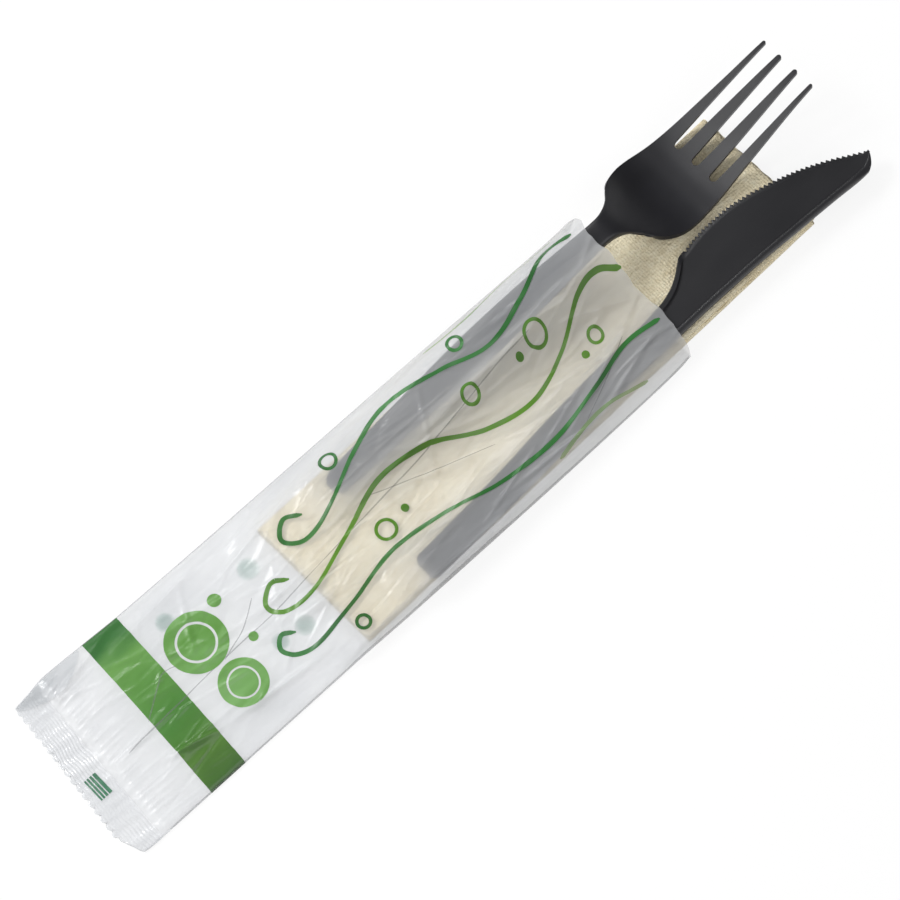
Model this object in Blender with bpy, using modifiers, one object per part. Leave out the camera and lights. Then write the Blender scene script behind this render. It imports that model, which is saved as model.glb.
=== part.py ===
"""Cutlery kit: fork and serrated knife on a folded napkin, held in a crimped film sleeve.

X runs along the pack from the sealed end of the sleeve to the tips, Y across it
from the knife to the fork, and Z up from the flat underside of the sleeve.
Sizes are millimetres until mesh_object writes them in metres.
"""
import math

import bmesh
import bpy
import numpy as np
from mathutils import Matrix, Vector

MM = 0.001

# Clearances between the pieces.
SEAT_GAP = 0.3
FILM_WALL = 0.3

# Napkin: one sheet folded to four leaves, the closed double fold on the fork side.
NAPKIN_LENGTH = 164.0
NAPKIN_WIDTH = 41.4
NAPKIN_LEAF = 0.62
NAPKIN_LEAF_GAP = 0.22
NAPKIN_BOTTOM = FILM_WALL + SEAT_GAP
NAPKIN_TOP = NAPKIN_BOTTOM + 4 * NAPKIN_LEAF + 3 * NAPKIN_LEAF_GAP
NAPKIN_END_X = 109.7
NAPKIN_END_Y = 0.75
NAPKIN_TURN = 1.2
NAPKIN_FOLD_STEPS = 6
NAPKIN_EDGE_INSET = 0.5
NAPKIN_INNER_EDGE_INSET = 1.1

# Fork: widths and heights are given against the distance from the end of the handle.
FORK_LENGTH = 165.3
FORK_START_X = -34.0
FORK_Y = 12.85
FORK_BOTTOM = NAPKIN_TOP + SEAT_GAP
FORK_WALL = 1.4
FORK_END_RADIUS = 3.0
FORK_FLANGE = 2.2
FORK_FLANGE_END = 110.0
FORK_FLANGE_FADE = 10.0
FORK_HEAD_START = 98.0
FORK_HEAD_BLEND = 16.0
FORK_HANDLE_STEP = 6.5
FORK_HEAD_STEP = 1.75
FORK_TIP_BLUNT = 0.06
FORK_SLOT_ROOT = 131.0
FORK_SLOT_RADIUS = 1.2
FORK_SLOT_TIP_HALF = 2.3
FORK_SLOT_OFFSET_ROOT = 6.5
FORK_SLOT_OFFSET_TIP = 5.9
FORK_EDGE_ROUND = 0.25
FORK_HALF_WIDTH = (
    (0, 3.0), (10, 3.6), (35, 4.4), (52, 4.8), (72, 4.5), (88, 3.7), (95.5, 3.45),
    (99, 3.7), (101.5, 4.5), (104, 6.1), (107, 9.1), (110, 11.0), (113, 12.1), (116, 12.65),
    (118.5, 12.75), (121.5, 12.55), (125, 12.15), (129, 11.8), (138, 10.95), (147, 10.25),
    (156, 9.6), (165.3, 9.1),
)
FORK_HEIGHT = (
    (0, 2.55), (15, 4.65), (35, 7.8), (60, 11.3), (80, 13.5), (92, 14.3), (96.5, 14.35),
    (99.5, 13.7), (102, 12.4), (105, 10.3), (108, 8.1), (111, 5.9), (114, 4.1), (117, 2.75),
    (120, 1.9), (123.5, 1.4), (127, 1.55), (131, 2.55), (136, 4.3), (142.5, 6.9), (151.5, 10.4),
    (160.7, 13.9), (165.3, 15.3),
)
FORK_DISH = ((0, 0), (104, 0), (110, 0.3), (117, 0.8), (124, 0.8), (132, 0.3), (165.3, 0))
FORK_CROWN = ((0, 0.35), (95, 0.45), (106, 0.2), (112, 0), (165.3, 0))

# Knife: edge lines are given against X; the heights are above the underside of its rims.
KNIFE_BOTTOM = NAPKIN_TOP + SEAT_GAP
KNIFE_START_X = -31.6
KNIFE_TIP_X = 133.9
KNIFE_RIM_HEIGHT = 2.6
KNIFE_WEB_HIGH = 1.9
KNIFE_RIM_WIDTH = 1.9
KNIFE_RIM_ROUND = 0.35
KNIFE_BAND_SHARE = 0.3
KNIFE_ROUND_SHARE = 0.08
KNIFE_END_RADIUS = 1.8
KNIFE_EDGE_HALF = 0.2
KNIFE_BEVEL_WIDTH = 1.7
KNIFE_SPINE = (
    (-31.6, -23.9), (-20, -23.5), (0, -22.6), (20, -21.3), (40, -20.0), (60, -19.3),
    (75, -19.0), (88, -19.0), (105, -19.5), (118, -20.0), (127, -20.45), (129.6, -20.35),
    (131.2, -19.6), (132.6, -18.2), (133.5, -16.9), (133.9, -16.0),
)
KNIFE_EDGE = (
    (-31.6, -16.2), (-20, -15.6), (0, -14.2), (20, -12.3), (40, -11.0), (55, -10.4),
    (63, -9.6), (68, -8.2), (71, -6.6), (74, -4.5), (76, -3.2), (78, -2.75), (82, -2.0),
    (88, -1.45), (93, -1.45), (100, -2.3), (108, -4.2), (116, -6.7), (124, -10.2),
    (130, -13.5), (133.9, -15.7),
)
KNIFE_EDGE_RIM = ((-31.6, 1), (74, 1), (78, 0), (133.9, 0))
KNIFE_SPINE_RIM = ((-31.6, 1), (124, 0.9), (130, 0.25), (133.9, 0))
TOOTH_COUNT = 42
TOOTH_START_X = 78.6
TOOTH_PITCH = 1.31
TOOTH_DEPTH = 0.85
TOOTH_FLAT = 0.05
TOOTH_RUN_OUT = 0.4
TEETH_CUTTER_REACH = 6.0

# Sleeve: a tube of film, crimped shut at one end and cut open at the other.
SLEEVE_TAIL_X = -133.6
SLEEVE_CRIMP_LENGTH = 9.0
SLEEVE_MOUTH_X = 61.0
CRIMP_PITCH = 0.9
CRIMP_HEIGHT = 0.16
SEAL_THICKNESS = 0.95
SEAL_TOOTH_PITCH = 2.5
SEAL_TOOTH_DEPTH = 0.7
SEAL_TOOTH_SHALLOW = 0.05
SERRATION_MARGIN = 3.0
SERRATION_BACK = 8.0
EDGE_FOLD_HEIGHT = 1.2
LOWER_EDGE_LIFT = 0.12
EMPTY_LOFT = 2.7
TAIL_RISE = 12.0
SLEEVE_LOADED_X = -52.0
EMPTY_STATIONS = 15
LOADED_STATIONS = 23
FILM_SAG = 0.02
FILM_CLEARANCE = 0.6
FILM_REACH = 1.5
FILM_REACH_FORK = 2.4
FILM_REACH_ALONG = 5.0
FILM_OFF_FLOOR = 0.2
FORK_CROWN_ROOM = 0.3
DRAPE_STATIONS = 120
DRAPE_COLUMNS = 61
DRAPE_STEPS = 500
DRAPE_ALONG = 0.2
DRAPE_ACROSS = 0.3
SLEEVE_LOW_SIDE = (
    (-133.6, -16.5), (-131.6, -21.0), (-129.8, -24.6), (-126, -24.9), (-60, -24.9),
    (-40, -25.2), (0, -25.3), (40, -25.0), (56, -24.6), (61, -24.0),
)
SLEEVE_HIGH_SIDE = (
    (-133.6, 25.5), (-126, 26.4), (-122, 27.0), (-108, 26.5), (-96, 26.0), (-40, 25.6),
    (0, 25.5), (40, 25.1), (54, 25.0), (58, 24.7), (60, 23.6), (61, 22.4),
)
SLEEVE_SKEW = (
    (-133.6, 0.092), (-122, 0.05), (-108, 0.039), (-97, 0.035), (0, 0.022), (61, 0.03),
)
MOUTH_LIFT = 1.6
MOUTH_LIFT_LENGTH = 34.0
MOUTH_WAVE_LENGTH = 15.0
WRINKLE_FADE = 6.0
WRINKLE_EDGE_SHARE = 0.06
MOUTH_WAVE = (
    (-25, 0.0), (-18, 0.7), (-11, 1.0), (-3, 0.2), (8, -2.2), (12.5, -2.6), (17, -2.0), (25, 0.3),
)
WRINKLES = (
    (-116, -10.5, -60, -18.0, 2.6, 0.8),
    (-126, 22.0, -108, 24.0, 3.0, 0.7),
    (-124, 18.0, -106, 11.0, 2.6, 0.6),
    (-124, 6.0, -110, 4.0, 2.4, 0.5),
    (-124, -4.0, -112, -5.5, 2.4, 0.5),
    (-124, -17.0, -110, -15.0, 2.6, 0.6),
    (-104, 19.0, -70, 22.0, 3.0, 0.5),
    (-96, 14.0, -62, 8.0, 3.2, 0.5),
    (-74, -6.0, -44, -9.0, 3.0, 0.5),
    (-46, 5.0, -14, 12.0, 3.0, 0.4),
    (-24, 0.0, 6, -8.0, 3.0, 0.6),
    (-14, 5.0, 12, -3.0, 2.8, 0.5),
    (4, 2.0, 26, 10.0, 3.0, 0.5),
    (22, -19.0, 50, -8.0, 3.2, 0.7),
    (34, 3.0, 60, -4.0, 3.0, 0.6),
    (30, 20.0, 58, 17.0, 3.0, 0.5),
)


def smooth_curve(table):
    """Monotone cubic through a table of (position, value)."""
    xs = np.array([row[0] for row in table], float)
    ys = np.array([row[1] for row in table], float)
    steps = np.diff(xs)
    slopes = np.diff(ys) / steps
    tangents = np.zeros(len(xs))
    tangents[0] = slopes[0]
    tangents[-1] = slopes[-1]
    for i in range(1, len(xs) - 1):
        if slopes[i - 1] * slopes[i] > 0:
            before = 2 * steps[i] + steps[i - 1]
            after = steps[i] + 2 * steps[i - 1]
            tangents[i] = (before + after) / (before / slopes[i - 1] + after / slopes[i])

    def value(x):
        x = np.clip(np.asarray(x, float), xs[0], xs[-1])
        i = np.clip(np.searchsorted(xs, x) - 1, 0, len(xs) - 2)
        t = (x - xs[i]) / steps[i]
        h00 = (1 + 2 * t) * (1 - t) ** 2
        h10 = t * (1 - t) ** 2
        h01 = t * t * (3 - 2 * t)
        h11 = t * t * (t - 1)
        return (h00 * ys[i] + h10 * steps[i] * tangents[i]
                + h01 * ys[i + 1] + h11 * steps[i] * tangents[i + 1])

    return value


def plastic(name, colour, roughness, alpha=1.0):
    material = bpy.data.materials.new(name)
    material.use_nodes = True
    shader = material.node_tree.nodes["Principled BSDF"]
    shader.inputs["Base Color"].default_value = (*colour, 1.0)
    shader.inputs["Roughness"].default_value = roughness
    shader.inputs["Alpha"].default_value = alpha
    material.diffuse_color = (*colour, alpha)
    return material


def collection(name):
    made = bpy.data.collections.new(name)
    bpy.context.scene.collection.children.link(made)
    return made


def mesh_object(name, points, faces, group, material=None, closed=True):
    mesh = bpy.data.meshes.new(name)
    mesh.from_pydata([tuple(c * MM for c in point) for point in points], [], faces)
    if closed:
        outward = bmesh.new()
        outward.from_mesh(mesh)
        bmesh.ops.recalc_face_normals(outward, faces=outward.faces)
        outward.to_mesh(mesh)
        outward.free()
    mesh.update()
    made = bpy.data.objects.new(name, mesh)
    group.objects.link(made)
    if material:
        mesh.materials.append(material)
    return made


def cutter_prism(name, outline, low, high, group):
    """Upright prism over an anticlockwise outline in X and Y."""
    count = len(outline)
    points = [(x, y, low) for x, y in outline] + [(x, y, high) for x, y in outline]
    faces = [tuple(reversed(range(count))), tuple(range(count, 2 * count))]
    for i in range(count):
        j = (i + 1) % count
        faces.append((i, j, count + j, count + i))
    made = mesh_object(name, points, faces, group)
    made.hide_render = True
    made.display_type = "WIRE"
    return made


def cut(target, cutter):
    modifier = target.modifiers.new("cut", "BOOLEAN")
    modifier.operation = "DIFFERENCE"
    modifier.solver = "EXACT"
    modifier.object = cutter


def napkin_outline():
    """Section of the folded sheet across Y, as one ribbon of even thickness."""
    pitch = NAPKIN_LEAF + NAPKIN_LEAF_GAP
    half = NAPKIN_WIDTH / 2
    leaf_z = [NAPKIN_LEAF / 2 + k * pitch for k in range(4)]
    path = [(-half + NAPKIN_EDGE_INSET, leaf_z[3])]

    def fold(centre_y, low, high, side):
        radius = (high - low) / 2
        middle = (high + low) / 2
        for k in range(NAPKIN_FOLD_STEPS + 1):
            angle = math.pi * k / NAPKIN_FOLD_STEPS
            path.append((centre_y + side * radius * math.sin(angle),
                         middle + radius * math.cos(angle)))

    outer = (leaf_z[3] - leaf_z[0]) / 2
    fold(half - NAPKIN_LEAF / 2 - outer, leaf_z[0], leaf_z[3], 1)
    fold(-half + NAPKIN_LEAF / 2 + pitch / 2, leaf_z[0], leaf_z[1], -1)
    path_count = len(path)
    for k in range(path_count - NAPKIN_FOLD_STEPS - 1, path_count):
        path[k] = (path[k][0], leaf_z[0] + leaf_z[1] - path[k][1])
    fold(half - NAPKIN_LEAF / 2 - outer, leaf_z[1], leaf_z[2], 1)
    for k in range(len(path) - NAPKIN_FOLD_STEPS - 1, len(path)):
        path[k] = (path[k][0], leaf_z[1] + leaf_z[2] - path[k][1])
    path.append((-half + NAPKIN_INNER_EDGE_INSET, leaf_z[2]))

    left, right = [], []
    for k, (y, z) in enumerate(path):
        before = path[max(k - 1, 0)]
        after = path[min(k + 1, len(path) - 1)]
        run = Vector((after[0] - before[0], after[1] - before[1])).normalized()
        left.append((y - run.y * NAPKIN_LEAF / 2, z + run.x * NAPKIN_LEAF / 2))
        right.append((y + run.y * NAPKIN_LEAF / 2, z - run.x * NAPKIN_LEAF / 2))
    return left, right


def napkin(group, material):
    left, right = napkin_outline()
    count = len(left)
    turn = Matrix.Rotation(math.radians(NAPKIN_TURN), 3, "Z")
    points = []
    for along in (-NAPKIN_LENGTH, 0.0):
        for side in (left, right):
            for y, z in side:
                spot = turn @ Vector((along, y, z))
                points.append((spot.x + NAPKIN_END_X, spot.y + NAPKIN_END_Y,
                               spot.z + NAPKIN_BOTTOM))
    near_left, near_right, far_left, far_right = (k * count for k in range(4))
    faces = []
    for k in range(count - 1):
        faces.append((near_left + k, near_right + k, near_right + k + 1, near_left + k + 1))
        faces.append((far_left + k, far_left + k + 1, far_right + k + 1, far_right + k))
        faces.append((near_left + k, near_left + k + 1, far_left + k + 1, far_left + k))
        faces.append((near_right + k, far_right + k, far_right + k + 1, near_right + k + 1))
    last = count - 1
    faces.append((near_left, far_left, far_right, near_right))
    faces.append((near_left + last, near_right + last, far_right + last, far_left + last))
    return mesh_object("napkin", points, faces, group, material)


def fork_surface(distance, columns):
    """Upper surface of the fork at one station, before it is seated."""
    half = float(fork_half_width(distance))
    height = float(fork_height(distance))
    dish = float(fork_dish(distance))
    crown = float(fork_crown(distance))
    fade = float(np.clip((FORK_FLANGE_END - distance) / FORK_FLANGE_FADE, 0, 1))
    flange = FORK_FLANGE * fade ** 1.5
    row = []
    for across, drop in columns:
        share = across / half
        lift = dish * share * share - crown * share * share
        row.append((distance, across, height + lift - flange * drop))
    return row


def fork_columns(distance):
    """Across positions and flange drops of the thirteen columns, fork side first."""
    half = float(fork_half_width(distance))
    slot = float(fork_slot_offset(distance))
    handle = (-1.0, -1.0, -0.93, -0.78, -0.5, -0.25, 0.0)
    drops = (1.0, 0.35, 0.06, 0.0, 0.0, 0.0, 0.0)
    inner = slot / half
    head = (-1.0, -1 + (1 - inner) / 3, -1 + 2 * (1 - inner) / 3, -inner,
            -2 * inner / 3, -inner / 3, 0.0)
    blend = float(np.clip((distance - FORK_HEAD_START) / FORK_HEAD_BLEND, 0, 1))
    columns = []
    for k in range(7):
        share = handle[k] * (1 - blend) + head[k] * blend
        columns.append((share * half, drops[k]))
    for k in range(5, -1, -1):
        columns.append((-columns[k][0], columns[k][1]))
    return columns


def tine_columns(distance, tine):
    """The four columns of one tine, edge to edge."""
    half = float(fork_half_width(distance))
    slot = float(fork_slot_offset(distance))
    past_root = distance - FORK_SLOT_ROOT
    reach = min(past_root / FORK_SLOT_RADIUS, 1.0)
    taper = (distance - FORK_SLOT_ROOT) / (FORK_LENGTH - FORK_SLOT_ROOT)
    gap = FORK_SLOT_RADIUS * math.sqrt(max(0.0, 1 - (1 - reach) ** 2))
    gap += (FORK_SLOT_TIP_HALF - FORK_SLOT_RADIUS) * taper
    edges = ((-half, -slot - gap), (-slot + gap, -gap), (gap, slot - gap), (slot + gap, half))
    low, high = edges[tine]
    middle = (low + high) / 2
    half_tine = (high - low) / 2
    to_tip = FORK_LENGTH - distance
    if to_tip < half_tine:
        half_tine *= math.sqrt(max(FORK_TIP_BLUNT, 1 - (1 - to_tip / half_tine) ** 2))
    return [(middle + half_tine * share, 0.0) for share in (-1, -1 / 3, 1 / 3, 1)]


def fork(group, material):
    end = [FORK_END_RADIUS * (1 - math.cos(math.radians(a))) for a in (18, 40, 65, 90)]
    handle = list(np.arange(2 * FORK_END_RADIUS, FORK_HEAD_START - 1, FORK_HANDLE_STEP))
    head = list(np.arange(FORK_HEAD_START + 0.5, FORK_SLOT_ROOT - 1, FORK_HEAD_STEP))
    stations = end + handle + head + [FORK_SLOT_ROOT]
    points, faces = [], []
    for distance in stations:
        row = fork_surface(distance, fork_columns(distance))
        if distance < FORK_END_RADIUS:
            inset = FORK_END_RADIUS - distance
            narrow = FORK_END_RADIUS - math.sqrt(FORK_END_RADIUS ** 2 - inset ** 2)
            half = float(fork_half_width(distance))
            row = [(x, y * (half - narrow) / half, z) for x, y, z in row]
        points += row
    for i in range(len(stations) - 1):
        for k in range(12):
            a = i * 13 + k
            faces.append((a, a + 13, a + 14, a + 1))
    root = (len(stations) - 1) * 13
    bends = [FORK_SLOT_RADIUS * (1 - math.cos(math.radians(a))) for a in (25, 45, 68, 90)]
    tips = [FORK_LENGTH - d for d in (0.75, 0.45, 0.2, 0.0)]
    along = [FORK_SLOT_ROOT + b for b in bends]
    along += list(np.linspace(along[-1] + 2.5, FORK_LENGTH - 3, 9)) + tips
    for tine in range(4):
        before = [root + 3 * tine + k for k in range(4)]
        for distance in along:
            start = len(points)
            points += fork_surface(distance, tine_columns(distance, tine))
            now = [start + k for k in range(4)]
            for k in range(3):
                faces.append((before[k], now[k], now[k + 1], before[k + 1]))
            before = now
    placed = [(x + FORK_START_X, y + FORK_Y, z + FORK_BOTTOM) for x, y, z in points]
    made = mesh_object("fork", placed, faces, group, material, closed=False)
    wall = made.modifiers.new("wall", "SOLIDIFY")
    wall.thickness = FORK_WALL * MM
    wall.offset = -1.0
    wall.use_quality_normals = True
    edge = made.modifiers.new("edge round", "BEVEL")
    edge.width = FORK_EDGE_ROUND * MM
    edge.segments = 1
    edge.limit_method = "ANGLE"
    edge.angle_limit = math.radians(60)
    return made


def knife_section(x):
    """Closed section of the knife at one station, as (y, z) above its own underside."""
    low = float(knife_spine(x))
    high = float(knife_edge(x))
    from_end = x - KNIFE_START_X
    if from_end < KNIFE_END_RADIUS:
        inset = KNIFE_END_RADIUS - from_end
        narrow = KNIFE_END_RADIUS - math.sqrt(KNIFE_END_RADIUS ** 2 - inset ** 2)
        low += narrow
        high -= narrow
    width = high - low
    rim = min(KNIFE_RIM_WIDTH, KNIFE_BAND_SHARE * width)
    bevel = min(KNIFE_BEVEL_WIDTH, KNIFE_BAND_SHARE * width)
    corner = min(KNIFE_RIM_ROUND, KNIFE_ROUND_SHARE * width)
    spine = float(knife_spine_rim(x))
    edge = float(knife_edge_rim(x))
    middle = KNIFE_RIM_HEIGHT / 2
    web = KNIFE_WEB_HIGH - middle
    spine_half = web + (middle - web) * spine
    edge_half = web + (middle - web) * edge
    blade_half = KNIFE_EDGE_HALF * (1 - edge) + edge_half * edge
    edge_inset = corner * edge + 0.5 * bevel * (1 - edge)
    mid_half = edge_half * edge + 0.5 * (web + KNIFE_EDGE_HALF) * (1 - edge)
    reach = rim * edge + bevel * (1 - edge)
    top = [
        (low, spine_half - corner), (low + corner, spine_half),
        (low + rim - corner - 0.1 * rim, spine_half), (low + rim, web),
        (high - reach, web), (high - reach * (0.75 * edge + 0.85 * (1 - edge)),
                              edge_half * edge + (web - 0.05) * (1 - edge)),
        (high - edge_inset, mid_half), (high, blade_half - corner * edge),
    ]
    return ([(y, middle + z) for y, z in top]
            + [(y, middle - z) for y, z in reversed(top)])


def knife(group, cutters, material):
    end = [KNIFE_START_X + KNIFE_END_RADIUS * (1 - math.cos(math.radians(a)))
           for a in (20, 45, 70, 90)]
    handle = list(np.linspace(KNIFE_START_X + 6, 62, 12))
    neck = list(np.arange(64.5, 79, 1.75))
    blade = list(np.linspace(80.5, 127, 13))
    tip = [128.5, 130.0, 131.2, 132.2, 133.0, 133.6, KNIFE_TIP_X]
    stations = end + handle + neck + blade + tip
    points, faces = [], []
    count = 16
    for x in stations:
        points += [(x, y, z + KNIFE_BOTTOM) for y, z in knife_section(x)]
    for i in range(len(stations) - 1):
        for k in range(count):
            a = i * count + k
            b = i * count + (k + 1) % count
            faces.append((a, a + count, b + count, b))
    faces.append(tuple(range(count)))
    faces.append(tuple(reversed(range(len(points) - count, len(points)))))
    made = mesh_object("knife", points, faces, group, material)
    outline = []
    for k in range(TOOTH_COUNT + 1):
        x = TOOTH_START_X + k * TOOTH_PITCH
        before = x - TOOTH_PITCH / 2
        outline.append((before, float(knife_edge(before)) - TOOTH_FLAT))
        outline.append((x, float(knife_edge(x)) - TOOTH_DEPTH))
    last = outline[-1][0] + TOOTH_RUN_OUT
    outline.append((last, float(knife_edge(last)) - TOOTH_FLAT))
    outline += [(last, TEETH_CUTTER_REACH), (outline[0][0], TEETH_CUTTER_REACH)]
    teeth = cutter_prism("teeth", outline, KNIFE_BOTTOM - 1, KNIFE_BOTTOM + 4, cutters)
    cut(made, teeth)
    return made


def support_height(x, y):
    """Top of whatever lies under the film at one spot, with a little added all round."""
    height = np.full(x.shape, FILM_WALL + FILM_OFF_FLOOR)
    turn = math.radians(NAPKIN_TURN)
    along = (x - NAPKIN_END_X) * math.cos(turn) + (y - NAPKIN_END_Y) * math.sin(turn)
    across = -(x - NAPKIN_END_X) * math.sin(turn) + (y - NAPKIN_END_Y) * math.cos(turn)
    on_napkin = along > -NAPKIN_LENGTH - FILM_REACH_ALONG
    on_napkin &= abs(across) < NAPKIN_WIDTH / 2 + FILM_REACH
    height = np.where(on_napkin, NAPKIN_TOP, height)
    low = knife_spine(x) - FILM_REACH
    high = knife_edge(x) + FILM_REACH
    on_knife = (x > KNIFE_START_X - FILM_REACH_ALONG) & (y > low) & (y < high)
    height = np.where(on_knife, KNIFE_BOTTOM + KNIFE_RIM_HEIGHT, height)
    distance = x - FORK_START_X
    half = fork_half_width(distance + FILM_REACH_ALONG) + FILM_REACH_FORK
    on_fork = (distance > -FILM_REACH_ALONG) & (abs(y - FORK_Y) < half)
    lift = MOUTH_LIFT * np.clip(1 - (SLEEVE_MOUTH_X - x) / MOUTH_LIFT_LENGTH, 0, 1)
    raised = FORK_BOTTOM + fork_height(distance) + FORK_CROWN_ROOM + lift
    return np.where(on_fork, np.maximum(height, raised), height)


def draped_film(xs, shares):
    """Height of the outer face of the upper film over a grid of stations and shares."""
    fine_x = np.linspace(SLEEVE_TAIL_X, SLEEVE_MOUTH_X + 2, DRAPE_STATIONS)
    fine_t = np.linspace(0, 1, DRAPE_COLUMNS)
    low, high = sleeve_low(fine_x)[:, None], sleeve_high(fine_x)[:, None]
    y = low + (high - low) * fine_t[None]
    x = np.broadcast_to(fine_x[:, None], y.shape) + sleeve_skew(fine_x)[:, None] * y
    floor = support_height(x, y) + FILM_CLEARANCE + FILM_WALL
    loft = EMPTY_LOFT * np.sin(math.pi * fine_t[None]) ** 0.5
    start = SLEEVE_TAIL_X + SLEEVE_CRIMP_LENGTH
    rise = np.clip((x - start) / TAIL_RISE, 0, 1)
    floor = np.maximum(floor, SEAL_THICKNESS + (loft - SEAL_THICKNESS) * rise)
    film = floor.copy()
    for _ in range(DRAPE_STEPS):
        spread = film.copy()
        along = film[:-2, 1:-1] + film[2:, 1:-1]
        across = film[1:-1, :-2] + film[1:-1, 2:]
        spread[1:-1, 1:-1] = DRAPE_ALONG * along + DRAPE_ACROSS * across - FILM_SAG
        spread[-1] = spread[-2]
        film = np.maximum(floor, spread)
        film[:, 0] = EDGE_FOLD_HEIGHT
        film[:, -1] = EDGE_FOLD_HEIGHT
    i = np.clip(np.searchsorted(fine_x, xs) - 1, 0, len(fine_x) - 2)
    fx = ((xs - fine_x[i]) / (fine_x[i + 1] - fine_x[i]))[:, None]
    j = np.clip(np.searchsorted(fine_t, shares) - 1, 0, len(fine_t) - 2)
    fy = ((shares - fine_t[j]) / (fine_t[j + 1] - fine_t[j]))[None]
    return ((film[i][:, j] * (1 - fy) + film[i][:, j + 1] * fy) * (1 - fx)
            + (film[i + 1][:, j] * (1 - fy) + film[i + 1][:, j + 1] * fy) * fx)


def wrinkle_height(x, y):
    total = np.zeros_like(x)
    for x0, y0, x1, y1, width, height in WRINKLES:
        run = np.hypot(x1 - x0, y1 - y0)
        ux, uy = (x1 - x0) / run, (y1 - y0) / run
        along = ((x - x0) * ux + (y - y0) * uy) / run
        aside = abs(-(x - x0) * uy + (y - y0) * ux) / width
        ends = np.clip(along, 0, 1) * np.clip(1 - along, 0, 1) * 4
        total += height * ends ** 0.7 * np.clip(1 - aside, 0, 1) ** 1.3
    return total


def ring_shares():
    """Where the columns of the upper film lie between its two long edges."""
    middle = list(np.linspace(0.06, 0.94, 20))
    return np.array([0.0, 0.012, 0.028] + middle + [0.972, 0.988, 1.0])


def film_rings(stations):
    """Outer rings of the sleeve: upper film from knife side to fork side, then back below."""
    shares = ring_shares()
    xs = np.array(stations)
    low, high = sleeve_low(xs)[:, None], sleeve_high(xs)[:, None]
    y = low + (high - low) * shares[None]
    x = xs[:, None] + sleeve_skew(xs)[:, None] * y
    near_mouth = np.clip(1 - (SLEEVE_MOUTH_X - xs) / MOUTH_WAVE_LENGTH, 0, 1)[:, None] ** 2
    x = x + mouth_wave(y) * near_mouth
    z = draped_film(xs, shares)
    past_crimp = xs - SLEEVE_TAIL_X - SLEEVE_CRIMP_LENGTH
    inside = np.clip(past_crimp / WRINKLE_FADE, 0, 1)[:, None]
    edge_fade = np.clip(np.minimum(shares, 1 - shares) / WRINKLE_EDGE_SHARE, 0, 1)[None]
    z = z + wrinkle_height(x, y) * inside * edge_fade
    crimp = xs < SLEEVE_TAIL_X + SLEEVE_CRIMP_LENGTH
    z[crimp] = SEAL_THICKNESS
    ribs = np.round((xs - SLEEVE_TAIL_X) / (CRIMP_PITCH / 2)).astype(int) % 2
    z[crimp] += (CRIMP_HEIGHT * ribs[crimp])[:, None]
    z[:, 0] = EDGE_FOLD_HEIGHT / 2
    z[:, -1] = EDGE_FOLD_HEIGHT / 2
    below = np.array([0.985, 0.955, 0.8, 0.6, 0.4, 0.2, 0.045, 0.015])
    yb = low + (high - low) * below[None]
    xb = xs[:, None] + sleeve_skew(xs)[:, None] * yb + mouth_wave(yb) * near_mouth
    zb = np.zeros_like(yb)
    zb[:, 0] = LOWER_EDGE_LIFT
    zb[:, -1] = LOWER_EDGE_LIFT
    return (np.concatenate([x, xb], 1), np.concatenate([y, yb], 1), np.concatenate([z, zb], 1))


def inner_rings(x, y, z):
    """The same rings moved inward by the thickness of the film."""
    ahead = np.roll(y, -1, 1) - np.roll(y, 1, 1), np.roll(z, -1, 1) - np.roll(z, 1, 1)
    size = np.hypot(*ahead)
    return x, y + FILM_WALL * ahead[1] / size, z - FILM_WALL * ahead[0] / size


def film_sleeve(group, cutters, material):
    start = SLEEVE_TAIL_X + SLEEVE_CRIMP_LENGTH
    crimp = list(np.arange(SLEEVE_TAIL_X, start - 0.1, CRIMP_PITCH / 2))
    empty = list(np.linspace(start + 1, SLEEVE_LOADED_X - 4, EMPTY_STATIONS))
    loaded = list(np.linspace(SLEEVE_LOADED_X, SLEEVE_MOUTH_X - 7, LOADED_STATIONS))
    mouth = [SLEEVE_MOUTH_X - back for back in (4.5, 2.5, 1.0, 0.0)]
    stations = crimp + empty + loaded + mouth
    x, y, z = film_rings(stations)
    count = x.shape[1]
    first = len(crimp)
    xi, yi, zi = inner_rings(x[first:], y[first:], z[first:])
    points = np.stack([x, y, z], -1).reshape(-1, 3).tolist()
    offset = len(points)
    points += np.stack([xi, yi, zi], -1).reshape(-1, 3).tolist()
    faces = []
    for i in range(len(stations) - 1):
        for k in range(count):
            a, b = i * count + k, i * count + (k + 1) % count
            faces.append((a, b, b + count, a + count))
    for i in range(len(stations) - first - 1):
        for k in range(count):
            a, b = offset + i * count + k, offset + i * count + (k + 1) % count
            faces.append((a, a + count, b + count, b))
    outer_lip = (len(stations) - 1) * count
    inner_lip = offset + (len(stations) - first - 1) * count
    for k in range(count):
        j = (k + 1) % count
        faces.append((outer_lip + k, outer_lip + j, inner_lip + j, inner_lip + k))
    faces.append(tuple(reversed(range(count))))
    faces.append(tuple(offset + k for k in range(count)))
    made = mesh_object("film_sleeve", points, faces, group, material)
    low = float(sleeve_low(SLEEVE_TAIL_X)) - SERRATION_MARGIN
    high = float(sleeve_high(SLEEVE_TAIL_X)) + SERRATION_MARGIN
    skew = float(sleeve_skew(SLEEVE_TAIL_X))
    outline = []
    teeth = int((high - low) / SEAL_TOOTH_PITCH)
    for k in range(teeth + 1):
        for share, depth in ((0.0, SEAL_TOOTH_SHALLOW), (0.5, SEAL_TOOTH_DEPTH)):
            across = low + (k + share) * SEAL_TOOTH_PITCH
            outline.append((SLEEVE_TAIL_X + skew * across + depth, across))
    back = SLEEVE_TAIL_X - SERRATION_BACK
    outline += [(back, outline[-1][1]), (back, outline[0][1])]
    serration = cutter_prism("serration", outline, -1, 4, cutters)
    cut(made, serration)
    return made


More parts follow.
